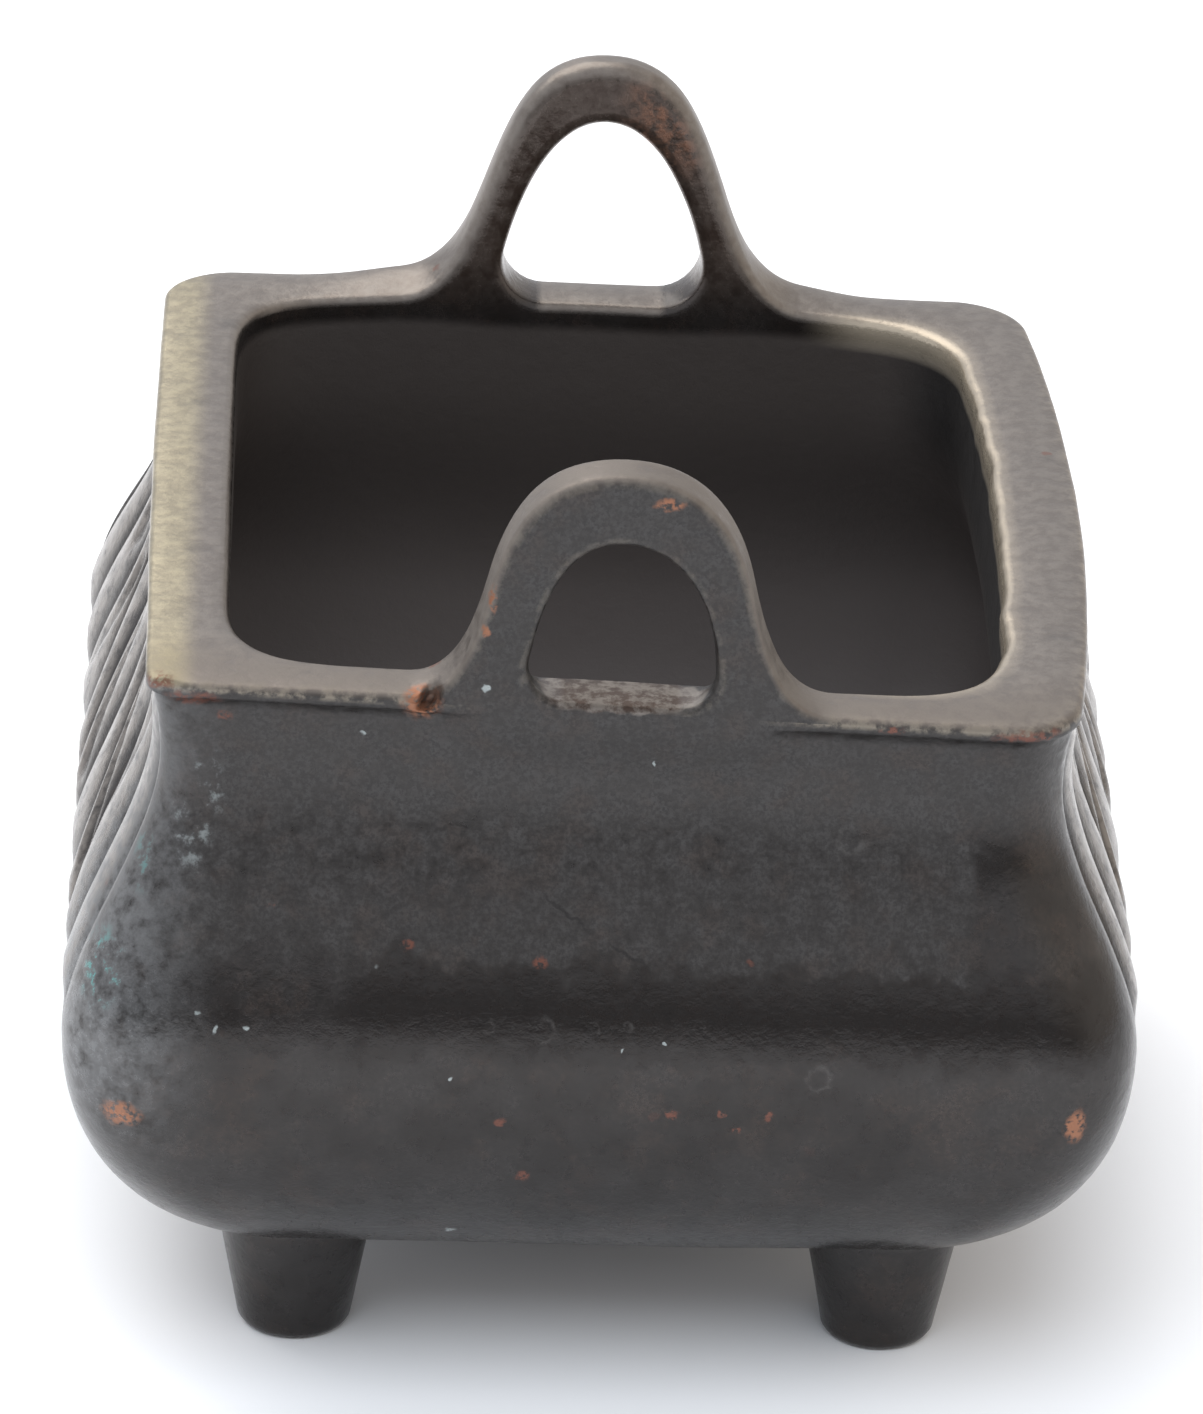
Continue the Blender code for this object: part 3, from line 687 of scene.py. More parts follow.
def handle_edge(handle, share, curve, hollow):
    """Points across the thickness of a handle, on its outer outline or on its hole's."""
    rise = curve(handle, share, 1.0)[1] / handle["height"]
    thickness = END_WALL + (handle["bar_depth"] - END_WALL) * rise
    rounding = handle["hole_rounding"] if hollow else handle["rounding"]
    eased = float(smooth(rise / ROUNDED_FROM))
    outer_edge = RIM_EDGE + (rounding - RIM_EDGE) * eased
    inner_edge = INNER_EDGE + (rounding - INNER_EDGE) * eased
    edge = []
    for depth, shift, drop in crown(outer_edge, inner_edge, RIM_HUMP * (1.0 - rise)):
        out, up = curve(handle, share, depth)
        normal = curve_normal(curve, handle, share, depth, hollow)
        x = handle["offset"] + out - normal[0] * drop
        z = RIM_HEIGHT + up - normal[1] * drop
        edge.append((x, -MOUTH_LENGTH / 2 + depth * thickness + shift, z))
    return edge


def handle_ring(handle, share, direction):
    """One section of a handle: over its outer edge, down its back, under it, up its face."""
    outer = handle_edge(handle, share, outer_curve, False)
    inner = handle_edge(handle, share, inner_curve, True)
    ring = outer + between(outer[-1], inner[-1], LEG_COLUMNS)
    ring += inner[::-1] + between(inner[0], outer[0], LEG_COLUMNS)
    face = [(0.0, 0.0, 0.0, 0.0, 0.0)] * (LEG_COLUMNS - 1)
    crest = [(mark[0], HANDLE_WEAR * mark[1], 0.0, 0.0, 0.0) for mark in crown_marks()]
    hole = [(0.0, HANDLE_WEAR * mark[1], 0.0, 0.0, 0.0) for mark in crown_marks()]
    marks = crest + face + hole[::-1] + face
    return [(direction * x, direction * y, z) for x, y, z in ring], marks


def vessel_rings():
    """All rings of the vessel from the underside, over the rim and down to the inner floor."""
    rings = [wall_ring(bulge, height) for bulge, height in outer_rows()]
    rings = shrunk_rings(rings[0])[::-1] + rings
    rim_start = len(rings)
    for section, mark in zip(crown(RIM_EDGE, INNER_EDGE, RIM_HUMP), crown_marks()):
        ring = rim_ring(*section)
        top, outer, inner = mark[:3]
        marks = [(top, outer * (1.0 - under), inner, 0.0, 0.0) for under in under_handles(ring)]
        rings.append((ring, marks))
    rim_end = len(rings) - 1
    rings += [inner_ring(bulge, height) for bulge, height in inner_rows()]
    rings += shrunk_rings(rings[-1])
    return rings, rim_start, rim_end


def add_ring(mesh, level):
    """Add one ring's vertices to the mesh, each with its marks for the finish."""
    layers = [mesh.verts.layers.float[name] for name in MARKS]
    ring = []
    for point, marks in zip(*level):
        vert = mesh.verts.new([value * MM for value in settle(point)])
        for layer, mark in zip(layers, marks):
            vert[layer] = mark
        ring.append(vert)
    return ring


def add_handle(mesh, rim, handle, direction, first):
    """Raise a handle between the two leg patches that the rim's faces leave open."""
    far = first + HANDLE_COLUMNS - 1
    ends = []
    for outer, step in ((first, 1), (far, -1)):
        inner = outer + step * LEG_COLUMNS
        ring = [row[outer] for row in rim]
        ring += [rim[-1][column] for column in range(outer + step, inner, step)]
        ring += [row[inner] for row in reversed(rim)]
        ring += [rim[0][column] for column in range(inner - step, outer, -step)]
        ends.append(ring)
    sections = [ends[0]]
    for step in range(1, HANDLE_RINGS):
        sections.append(add_ring(mesh, handle_ring(handle, step / HANDLE_RINGS, direction)))
    sections.append(ends[1])
    for here, there in zip(sections, sections[1:]):
        for place in range(len(here)):
            onward = (place + 1) % len(here)
            mesh.faces.new((here[place], there[place], there[onward], here[onward]))


def leg_columns():
    """Columns of the rim that stand under the handles' legs."""
    covered = set()
    for first in HANDLE_STARTS:
        for leg in (first, first + LEG_COLUMNS + SILL_COLUMNS):
            covered.update(range(leg, leg + LEG_COLUMNS))
    return covered


def vessel_mesh():
    """The vessel with its handles, as one closed mesh."""
    mesh = bmesh.new()
    for name in MARKS:
        mesh.verts.layers.float.new(name)
    plan, rim_start, rim_end = vessel_rings()
    rings = [add_ring(mesh, points) for points in plan]
    skin(mesh, rings, range(rim_start, rim_end), leg_columns())
    rim = rings[rim_start:rim_end + 1]
    add_handle(mesh, rim, FRONT, 1.0, HANDLE_STARTS[0])
    add_handle(mesh, rim, BACK, -1.0, HANDLE_STARTS[1])
    return mesh


def skin(mesh, rings, open_rows, open_columns):
    """Join rings from below to above and close both ends; some faces may stay open."""
    for row, (below, above) in enumerate(zip(rings, rings[1:])):
        for column in range(len(below)):
            if row in open_rows and column in open_columns:
                continue
            onward = (column + 1) % len(below)
            mesh.faces.new((below[column], below[onward], above[onward], above[column]))
    close_ring(mesh, rings[0], -1)
    close_ring(mesh, rings[-1], 1)


def close_ring(mesh, ring, facing):
    """Close a level ring with a fan round its middle; facing is 1 for up and -1 for down."""
    middle = mesh.verts.new(sum((vert.co for vert in ring), Vector()) / len(ring))
    for place, vert in enumerate(ring):
        onward = ring[(place + 1) % len(ring)]
        corners = (vert, onward, middle) if facing > 0 else (onward, vert, middle)
        mesh.faces.new(corners)


def foot_profile():
    """Radius and height of a foot, from its flat tip up into the floor of the vessel."""
    sink = FOOT_SINK_SHARE * FLOOR
    slope = (FOOT_TOP_RADIUS - FOOT_TIP_RADIUS) / FOOT_HEIGHT
    profile = []
    for step in range(EDGE_ROWS + 1):
        turn = QUARTER_TURN * step / EDGE_ROWS
        radius = FOOT_TIP_RADIUS - FOOT_EDGE * (1.0 - math.sin(turn))
        profile.append((radius, FOOT_EDGE * (1.0 - math.cos(turn))))
    tip = profile[-1]
    for step in range(1, FOOT_ROWS + 1):
        share = step / FOOT_ROWS
        radius = tip[0] + (FOOT_TOP_RADIUS - tip[0]) * share
        profile.append((radius, tip[1] + (FOOT_HEIGHT - tip[1]) * share))
    profile.append((FOOT_TOP_RADIUS + slope * sink, FOOT_HEIGHT + sink))
    return profile


def foot_mesh(side, end):
    """One foot as its own closed body, placed under a corner of the vessel."""
    middle_x = side * (MOUTH_WIDTH / 2 - FOOT_INSET_SIDE)
    middle_y = end * (MOUTH_LENGTH / 2 - FOOT_INSET_END)
    mesh = bmesh.new()
    rings = []
    for radius, height in foot_profile():
        ring = []
        for step in range(FOOT_SIDES):
            turn = 2.0 * math.pi * step / FOOT_SIDES
            x = middle_x + radius * math.cos(turn)
            y = middle_y + radius * math.sin(turn)
            ring.append(mesh.verts.new((x * MM, y * MM, height * MM)))
        rings.append(ring)
    skin(mesh, rings, (), ())
    return mesh


def make_object(name, mesh):
    """Turn a mesh under construction into an object of the scene."""
    data = bpy.data.meshes.new(name)
    mesh.to_mesh(data)
    mesh.free()
    thing = bpy.data.objects.new(name, data)
    bpy.context.scene.collection.objects.link(thing)
    return thing


def cast_burner():
    """The vessel and its feet united into one mesh."""
    burner = make_object("bronze_burner", vessel_mesh())
    feet = [make_object("foot", foot_mesh(side, end)) for side in (-1, 1) for end in (-1, 1)]
    for foot in feet:
        union = burner.modifiers.new("join", "BOOLEAN")
        union.operation = "UNION"
        union.solver = "EXACT"
        union.object = foot
    joined = burner.evaluated_get(bpy.context.evaluated_depsgraph_get())
    data = bpy.data.meshes.new_from_object(joined)
    burner.modifiers.clear()
    burner.data = data
    for foot in feet:
        bpy.data.objects.remove(foot)
    return burner


def uneven(points, size, seed):
    """Smooth noise from -1 to 1 at each point, with hollows about size millimetres across."""
    shift = Vector((seed, 2.0 * seed, 3.0 * seed))
    return np.array([noise.noise(Vector(point) / size + shift) for point in points])


def refine(data):
    """Divide the faces round the casting hole."""
    mesh = bmesh.new()
    mesh.from_mesh(data)
    centre = Vector(CASTING_HOLE) * MM
    near = {vert for vert in mesh.verts if (vert.co - centre).length < FINE_REACH * MM}
    edges = [edge for edge in mesh.edges if edge.verts[0] in near and edge.verts[1] in near]
    bmesh.ops.subdivide_edges(mesh, edges=edges, cuts=FINE_CUTS, use_grid_fill=True)
    mesh.to_mesh(data)
    mesh.free()


def read_mesh(data):
    """Points in millimetres and normals of a mesh."""
    points = np.empty(3 * len(data.vertices))
    data.vertices.foreach_get("co", points)
    normals = np.empty(3 * len(data.vertices))
    data.vertex_normals.foreach_get("vector", normals)
    return points.reshape(-1, 3) / MM, normals.reshape(-1, 3)


def sink_hole(points):
    """Push the casting hole into the rim's front edge, with a raised lip round it."""
    across, through, up = (points - np.array(CASTING_HOLE)).T
    reach = np.hypot((across - HOLE_LEAN * up) / HOLE_ACROSS, up / HOLE_UP)
    depth = HOLE_DEPTH * smooth(HOLE_EDGE - reach) * smooth(1.0 - np.abs(through) / HOLE_THROUGH)
    lip = HOLE_LIP * np.exp(-((reach - HOLE_LIP_PLACE) / HOLE_LIP_WIDTH) ** 2)
    lip *= smooth(HOLE_LIP_THROUGH - np.abs(through))
    points[:, 1] += depth - lip
    points[:, 2] -= DROP * depth
    return points


def chip_corner(points):
    """Nick the front edge of the rim at its left corner."""
    along = (points[:, 0] - CHIP_START[0]) / CHIP_REACH
    through = (points[:, 1] - CHIP_START[1]) / CHIP_THROUGH
    up = (points[:, 2] - RIM_HEIGHT - FRONT_TILT + CHIP_BELOW) / CHIP_HEIGHT
    close = smooth(1.0 - along) * smooth(1.0 - through) * smooth(1.0 - np.abs(up))
    depth = CHIP_DEPTH * close * smooth(0.5 + CHIP_SHARPNESS * uneven(points, CHIP_SIZE, CHIP_SEED))
    points[:, 1] += depth
    points[:, 2] -= DROP * depth
    return points


def weather(data):
    """Give the cast surface its uneven, worn form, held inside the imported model's box."""
    points, normals = read_mesh(data)
    depth = np.zeros(len(points))
    for seed, (amount, size) in enumerate(UNEVEN):
        depth += amount * uneven(points, size, seed) / 2.0
    depth *= smooth(points[:, 2] / GROUND_FADE)
    points -= normals * depth[:, None]
    points = chip_corner(sink_hole(points))
    low, high = (np.array(corner) / MM for corner in CAD_BOX)
    points = np.clip(points, low, high)
    data.vertices.foreach_set("co", (points * MM).ravel())
    data.update()


class Nodes:
    """Short ways to add nodes to a tree."""

    def __init__(self, tree):
        self.tree = tree

    def node(self, kind, inputs, **settings):
        """Add a node; inputs holds links or plain values by socket."""
        made = self.tree.nodes.new(kind)
        for name, setting in settings.items():
            setattr(made, name, setting)
        for socket, value in inputs.items():
            if isinstance(value, bpy.types.NodeSocket):
                self.tree.links.new(value, made.inputs[socket])
            else:
                made.inputs[socket].default_value = value
        return made

    def math(self, operation, first, second=0.0):
        """One step of arithmetic."""
        return self.node("ShaderNodeMath", {0: first, 1: second}, operation=operation).outputs[0]

    def vector(self, operation, inputs):
        """One step of vector arithmetic."""
        return self.node("ShaderNodeVectorMath", inputs, operation=operation).outputs[0]

    def split(self, vector):
        """The three parts of a vector or colour."""
        return self.node("ShaderNodeSeparateXYZ", {0: vector}).outputs

    def times(self, *values):
        """The product of several values."""
        product = values[0]
        for value in values[1:]:
            product = self.math("MULTIPLY", product, value)
        return product

    def ramp(self, value, low, high):
        """0 below low, 1 above high, eased between; low may be the larger one."""
        inputs = {0: value, 1: low, 2: high}
        return self.node("ShaderNodeMapRange", inputs, interpolation_type="SMOOTHSTEP").outputs[0]

    def mix(self, share, first, second):
        """Blend two colours, each a link or a plain colour."""
        linked = bpy.types.NodeSocket
        first, second = (side if isinstance(side, linked) else (*side, 1.0) for side in (first, second))
        return self.node("ShaderNodeMix", {0: share, 6: first, 7: second}, data_type="RGBA").outputs[2]


class Shading(Nodes):
    """A material in the making. Lengths are in millimetres."""

    def __init__(self, name):
        self.material = bpy.data.materials.new(name)
        self.material.use_nodes = True
        super().__init__(self.material.node_tree)
        self.shader = self.tree.nodes["Principled BSDF"]
        place = self.node("ShaderNodeTexCoord", {}).outputs["Object"]
        self.place = self.vector("SCALE", {0: place, 3: 1.0 / MM})
        self.shaken = self.place
        self.x, self.y, self.z = self.split(self.place)

    def noise(self, size, detail, roughness, seed):
        """Noise from 0 to 1 with blotches about size millimetres across."""
        place = self.vector("MULTIPLY_ADD", {0: self.place, 1: [1.0 / size] * 3, 2: [seed] * 3})
        settings = {"Vector": place, "Scale": 1.0, "Detail": detail, "Roughness": roughness}
        return self.node("ShaderNodeTexNoise", settings).outputs[0]

    def shake(self, size, amount, detail, roughness):
        """Shake the places that spots and lines are drawn at, for ragged outlines."""
        settings = {"Vector": self.place, "Scale": 1.0 / size, "Detail": detail, "Roughness": roughness}
        tint = self.node("ShaderNodeTexNoise", settings).outputs["Color"]
        even = self.vector("SUBTRACT", {0: tint, 1: [0.5] * 3})
        moved = self.vector("SCALE", {0: even, 3: amount})
        self.shaken = self.vector("ADD", {0: self.place, 1: moved})

    def specks(self, size, radius, share, seed):
        """Small ragged specks: only a share of the scattered points carry one."""
        shifted = self.vector("ADD", {0: self.shaken, 1: [seed] * 3})
        cell = self.node("ShaderNodeTexVoronoi", {"Vector": shifted, "Scale": 1.0 / size})
        spot = self.ramp(cell.outputs["Distance"], radius / size, SPECK_CORE * radius / size)
        return self.times(spot, self.ramp(self.split(cell.outputs["Color"])[0], 1.0 - share, 1.0))

    def away(self, place, centre, reach):
        """Distance of a place from a centre, as a share of the reach along each axis."""
        scale = [1.0 / part for part in reach]
        shift = [-middle * part for middle, part in zip(centre, scale)]
        moved = self.vector("MULTIPLY_ADD", {0: place, 1: scale, 2: shift})
        return self.node("ShaderNodeVectorMath", {0: moved}, operation="LENGTH").outputs["Value"]

    def least(self, values):
        """The smallest of several values."""
        smallest = values[0]
        for value in values[1:]:
            smallest = self.math("MINIMUM", smallest, value)
        return smallest

    def near(self, spots, edge):
        """1 within reach of any of some places, falling to 0 outside; each is place and reach."""
        nearest = self.least([self.away(self.shaken, centre, reach) for centre, reach in spots])
        return self.ramp(nearest, 1.0 + edge, 1.0 - edge)

    def rings(self, circles):
        """1 on small circles on the front face; each is its middle across and up, and radius."""
        nearest = []
        for x, z, radius in circles:
            width = RING_SHARE * radius + RING_WIDTH
            away = self.away(self.shaken, (x, 0.0, z), (width, FAR, width))
            nearest.append(self.math("ABSOLUTE", self.math("SUBTRACT", away, radius / width)))
        return self.ramp(self.least(nearest), 1.0, 0.0)

    def line(self, start, end, width):
        """1 on a thin, slightly wavering line on the front face, between two places."""
        length = math.hypot(end[0] - start[0], end[1] - start[1])
        turn = math.atan2(end[0] - start[0], end[1] - start[1])
        middle = Vector(((start[0] + end[0]) / 2, 0.0, (start[1] + end[1]) / 2))
        settings = {"Vector": self.shaken, "Center": middle, "Axis": (0.0, 1.0, 0.0), "Angle": -turn}
        turned = self.node("ShaderNodeVectorRotate", settings).outputs[0]
        return self.ramp(self.away(turned, middle, (width, FAR, length / 2)), 1.0, LINE_CORE)

    def mark(self, name):
        """A mark that the mesh carries."""
        return self.node("ShaderNodeAttribute", {}, attribute_name=name).outputs["Fac"]

    def tint(self, colour, tone, *shares):
        """Lay a tone over a colour, by the product of some shares."""
        return self.mix(self.times(*shares), colour, tone)

    def finish(self, colour, roughness, metallic, height, depth):
        """Connect the shader; the depth of the relief is in millimetres."""
        relief = {"Height": height, "Distance": depth * MM, "Strength": 1.0}
        bump = self.node("ShaderNodeBump", relief).outputs[0]
        sockets = {"Base Color": colour, "Roughness": roughness, "Metallic": metallic, "Normal": bump}
        for socket, value in sockets.items():
            self.tree.links.new(value, self.shader.inputs[socket])
        return self.material


# Colours of the bronze, and of the light painted on it: reflections and highlights
DARK_PATINA = (0.014, 0.0105, 0.0095)
GREY_PATINA = (0.034, 0.030, 0.029)
HAZE = (0.054, 0.0515, 0.0515)
HANDLE_BROWN = (0.100, 0.078, 0.066)
BROWN_PATINA = (0.058, 0.040, 0.032)
# Painted dark reflection, for the band over the front belly
PAINTED_DARK_REFLECTION = (0.0115, 0.0078, 0.0066)
BLACK_HOLLOW = (0.012, 0.011, 0.011)
SOOT = (0.108, 0.094, 0.089)
BARE_INSIDE = (0.045, 0.038, 0.035)
WORN_GREY = (0.190, 0.170, 0.153)
# Worn rim with a painted warm reflection, for the gold on the rim's left
WEAR_AND_WARM_REFLECTION = (0.315, 0.278, 0.195)
DUST = (0.20, 0.205, 0.21)
# Pale edges: partly wear, partly a painted highlight
PALE_WEAR_AND_HIGHLIGHT = (0.52, 0.45, 0.35)
COPPER = (0.30, 0.125, 0.065)
RED_BROWN = (0.16, 0.055, 0.035)
VERDIGRIS = (0.10, 0.28, 0.27)
PALE_SPECK = (0.33, 0.37, 0.37)
BUBBLE_GREY = (0.085, 0.08, 0.077)

# How glossy and how metallic the patina is, what wear, haze and the inside change of it,
# and the depth of its grain
PATINA_IOR = 1.6
ROUGHNESS = 0.12
FINE_ROUGHNESS = 0.26
WORN_ROUGHNESS = 0.12
HAZE_ROUGHNESS = 0.3
INSIDE_ROUGHNESS = 0.3
METALLIC = 0.5
WORN_METALLIC = 0.35
INSIDE_METALLIC = 0.45
GRAIN_DEPTH = 0.055

# Noise of the finish: size in millimetres, detail, roughness and seed
FINE_NOISE = (1.1, 4.0, 0.68, 0.0)
BROAD_NOISE = (6.0, 4.0, 0.62, 7.0)
RAGGED_NOISE = (4.2, 4.0, 0.68, 21.0)
BROWN_NOISE = (3.6, 4.0, 0.68, 15.0)
GRAIN_NOISE = (0.3, 2.0, 0.7, 33.0)
BROKEN_NOISE = (0.5, 2.0, 0.7, 31.0)
SHAKE = (0.9, 0.9, 2.0, 0.65)

# How far the noise moves the edges of the haze and the painted dark reflection band, in millimetres
RAGGED_RISE = 9.0
BAND_SWAY = 12.0
STRIP_SWAY = 3.0

# Where each part of the finish, painted reflections and highlights among them, begins and is full, in
# millimetres along an axis
FRONT_FACE = (-26.0, -30.0)
HAZE_HEIGHT = (37.4, 39.2)
HAZE_DEPTH = (-24.0, -31.0)
BAND_FOOT = (31.5, 33.5)
BAND_TOP = (39.5, 38.1)
BAND_LEFT = (-14.0, -8.0)
STRIP_LEFT = (24.8, 25.8)
STRIP_TOP = (44.0, 40.0)
BACK_HANDLE_DEPTH = (24.0, 27.0)
BACK_HANDLE_HEIGHT = (50.0, 56.0)
DUST_ACROSS = (-24.0, -34.0)
DUST_DEPTH = (-18.0, -26.0)
DUST_HEIGHT = (15.0, 30.0)
SOOT_HEIGHT = (24.0, 48.0)
SHADE_ACROSS = (20.0, 25.0)
SHADE_HEIGHT = (38.0, 45.0)
# The painted warm reflection on the outer half of the rim's left side
WARM_REFLECTION_ACROSS = (-26.5, -28.5)
# The pale inner edge on the right: partly wear, partly a painted highlight
INNER_WEAR_AND_HIGHLIGHT_ACROSS = (14.0, 20.0)

# Between which values of the noise or of the mesh's marks each pattern fades in
INSIDE_FADE = (0.3, 0.9)
GREY_FADE = (0.35, 0.65)
BROWN_FADE = (0.48, 0.66)
GRAIN_FADE = (0.62, 0.36)
DEEP_FADE = (0.7, 0.3)
GROOVE_FADE = (0.35, 1.0)
CREST_FADE = (0.1, -0.7)
CREST_WEAR_FADE = (0.75, 0.4)
HANDLE_FADE = (0.35, 0.6)
GLOW_FADE = (0.4, 0.6)
DUST_FADE = (0.2, 0.7)
MOTTLED_FADE = (0.1, 0.75)
WORN_BROWN_FADE = (0.66, 0.36)
WEAR_FADE = (0.1, 0.42)
EDGE_FADE = (0.42, 0.62)
INNER_WEAR_AND_HIGHLIGHT_FADE = (0.1, 0.4)
SILL_FADE = (0.38, 0.6)
BROKEN_FADE = (0.36, 0.56)
VERDIGRIS_FADE = (0.52, 0.62)
DUSTY_FADE = (0.52, 0.7)
RING_FADE = (0.35, 0.7)

# How strongly each tint lies over what is under it
BROWN_STRENGTH = 0.4
BAND_STRENGTH = 0.9
GRAIN_STRENGTH = 0.55
DEEP_STRENGTH = 0.5
CREST_STRENGTH = 0.85
GLOW_STRENGTH = 0.5
DUST_STRENGTH = 0.8
WORN_BROWN_STRENGTH = 0.3
EDGE_STRENGTH = 0.35
SCRATCH_STRENGTH = 0.7
RING_STRENGTH = 0.5
PALE_STRENGTH = 0.5
REDDISH_STRENGTH = 0.6

# Scattered specks: spacing and radius in millimetres, the share that shows, and seed
PALE_SPECKS = (4.6, 0.24, 0.3, 5.0)
REDDISH_SPECKS = (5.2, 0.5, 0.3, 11.0)
SPECK_CORE = 0.6
SPOT_EDGE = 0.4
LINE_CORE = 0.3
RING_SHARE = 0.3
RING_WIDTH = 0.08

# The coppery glow of the back handle, and the sill of the front handle's hole
COPPER_GLOW = (((5.6, 31.0, 66.0), (3.6, 3.0, 4.2)),)
GLOW_EDGE = 0.5
SILL = (((0.5, -31.2, 51.4), (5.9, 2.9, 0.9)),)
SILL_EDGE = 0.1

# Small marks on the bronze: place and reach in millimetres
COPPER_SPOTS = (
    ((-31.2, -37.9, 23.1), (1.2, 2.5, 0.9)),
    ((31.0, -38.0, 23.6), (0.7, 2.5, 1.2)),
    ((-12.3, -33.2, 51.3), (1.15, 1.2, 1.35)),
    ((3.1, -32.8, 65.6), (1.0, 0.8, 0.4)),
    ((-7.9, -33.0, 58.6), (0.25, 0.6, 0.9)),
    ((-8.4, -33.2, 56.4), (0.25, 0.6, 0.4)),
)
RED_SPOTS = (
    ((-27.0, -33.4, 51.0), (1.6, 2.0, 0.5)),
    ((-29.2, -33.2, 51.9), (0.9, 2.0, 0.4)),
    ((27.0, -33.0, 49.6), (2.2, 1.5, 0.35)),
    ((18.0, -33.0, 49.9), (0.8, 1.5, 0.25)),
    ((-24.9, -33.0, 49.6), (0.5, 1.5, 0.3)),
    ((-12.8, -35.8, 35.0), (0.45, 1.0, 0.35)),
    ((-4.2, -36.2, 34.1), (0.4, 1.0, 0.4)),
    ((4.6, -38.3, 24.1), (0.4, 1.0, 0.3)),
    ((7.9, -38.3, 24.4), (0.3, 1.0, 0.25)),
    ((11.0, -38.3, 24.2), (0.35, 1.0, 0.35)),
    ((8.8, -38.2, 23.1), (0.25, 1.0, 0.25)),
    ((-6.5, -38.2, 23.3), (0.4, 1.0, 0.35)),
    ((-4.9, -37.1, 18.7), (0.5, 1.0, 0.4)),
)
VERDIGRIS_SPOTS = (
    ((-33.0, -36.0, 33.0), (1.5, 3.0, 2.4)),
    ((-30.5, -34.4, 41.0), (1.2, 3.0, 3.0)),
)
PALE_SPOTS = (
    ((-26.3, -37.7, 30.7), (0.18, 1.0, 0.16)),
    ((-25.1, -38.0, 29.6), (0.15, 1.0, 0.22)),
    ((-23.1, -37.9, 29.8), (0.17, 1.0, 0.14)),
    ((4.0, -38.1, 29.2), (0.13, 1.0, 0.13)),
    ((1.2, -38.2, 28.8), (0.12, 1.0, 0.12)),
    ((-9.9, -38.4, 26.6), (0.13, 1.0, 0.16)),
    ((-16.0, -32.3, 48.5), (0.15, 1.0, 0.17)),
    ((2.8, -32.3, 46.8), (0.15, 1.0, 0.15)),
    ((-8.2, -33.2, 52.3), (0.2, 1.0, 0.2)),
    ((-9.5, -33.7, 12.6), (0.35, 1.5, 0.22)),
)
DUSTY_SPOTS = (
    ((-26.1, -32.4, 44.1), (1.1, 1.5, 2.8)),
    ((-27.0, -32.6, 41.0), (1.3, 1.5, 3.0)),
)

# Casting bubbles on the front face: place across and up, and radius
BUBBLES = (
    (-3.8, 30.0, 0.68),
    (-7.4, 30.1, 0.36),
    (-0.6, 30.2, 0.28),
    (1.6, 30.3, 0.28),
    (6.2, 30.3, 0.34),
    (15.7, 41.7, 0.80),
    (14.1, 27.1, 0.75),
)

# Scratches on the front face: start and end across and up, and half width
SCRATCHES = (
    ((-4.8, 38.5), (-0.2, 35.4), 0.16),
    ((-0.4, 35.5), (3.2, 33.8), 0.12),
)


def bronze():
    """Dark patinated bronze, worn to grey on the rim and pale along the edges, with painted light: a
    warm reflection in gold on the rim's left, highlights on the pale edges and a dark reflection band
    over the front belly.
    """
    look = Shading("patinated_bronze")
    look.shader.inputs["IOR"].default_value = PATINA_IOR
    look.shake(*SHAKE)
    fine = look.noise(*FINE_NOISE)
    broad = look.noise(*BROAD_NOISE)
    inside = look.ramp(look.mark("inside"), *INSIDE_FADE)
    ragged_height = look.math("ADD", look.z, look.times(look.noise(*RAGGED_NOISE), RAGGED_RISE))
    haze = hazy(look, ragged_height, fine, broad)
    colour = patina_and_painted_light(look, ragged_height, fine, broad, haze, inside)
    colour, wear = wear_and_painted_light(look, colour, fine, broad)
    colour = spotted(look, colour, fine, inside)
    colour = bubbled(look, colour, fine)

    roughness = look.math("ADD", look.times(fine, FINE_ROUGHNESS), ROUGHNESS)
    for share, extra in ((wear, WORN_ROUGHNESS), (haze, HAZE_ROUGHNESS), (inside, INSIDE_ROUGHNESS)):
        roughness = look.math("ADD", roughness, look.times(share, extra))
    metallic = look.math("ADD", look.times(wear, WORN_METALLIC), METALLIC)
    metallic = look.math("SUBTRACT", metallic, look.times(inside, INSIDE_METALLIC))
    return look.finish(colour, roughness, metallic, fine, GRAIN_DEPTH)


def hazy(look, ragged_height, fine, broad):
    """The greyer, duller patina of the upper front: 1 above a ragged line over the belly."""
    above = look.ramp(ragged_height, *HAZE_HEIGHT)
    across = look.math("ADD", look.x, look.times(broad, STRIP_SWAY))
    dark_strip = look.times(look.ramp(across, *STRIP_LEFT), look.ramp(look.z, *STRIP_TOP))
    clear = look.math("SUBTRACT", 1.0, dark_strip)
    return look.times(above, clear, look.ramp(fine, *MOTTLED_FADE), look.ramp(look.y, *HAZE_DEPTH))


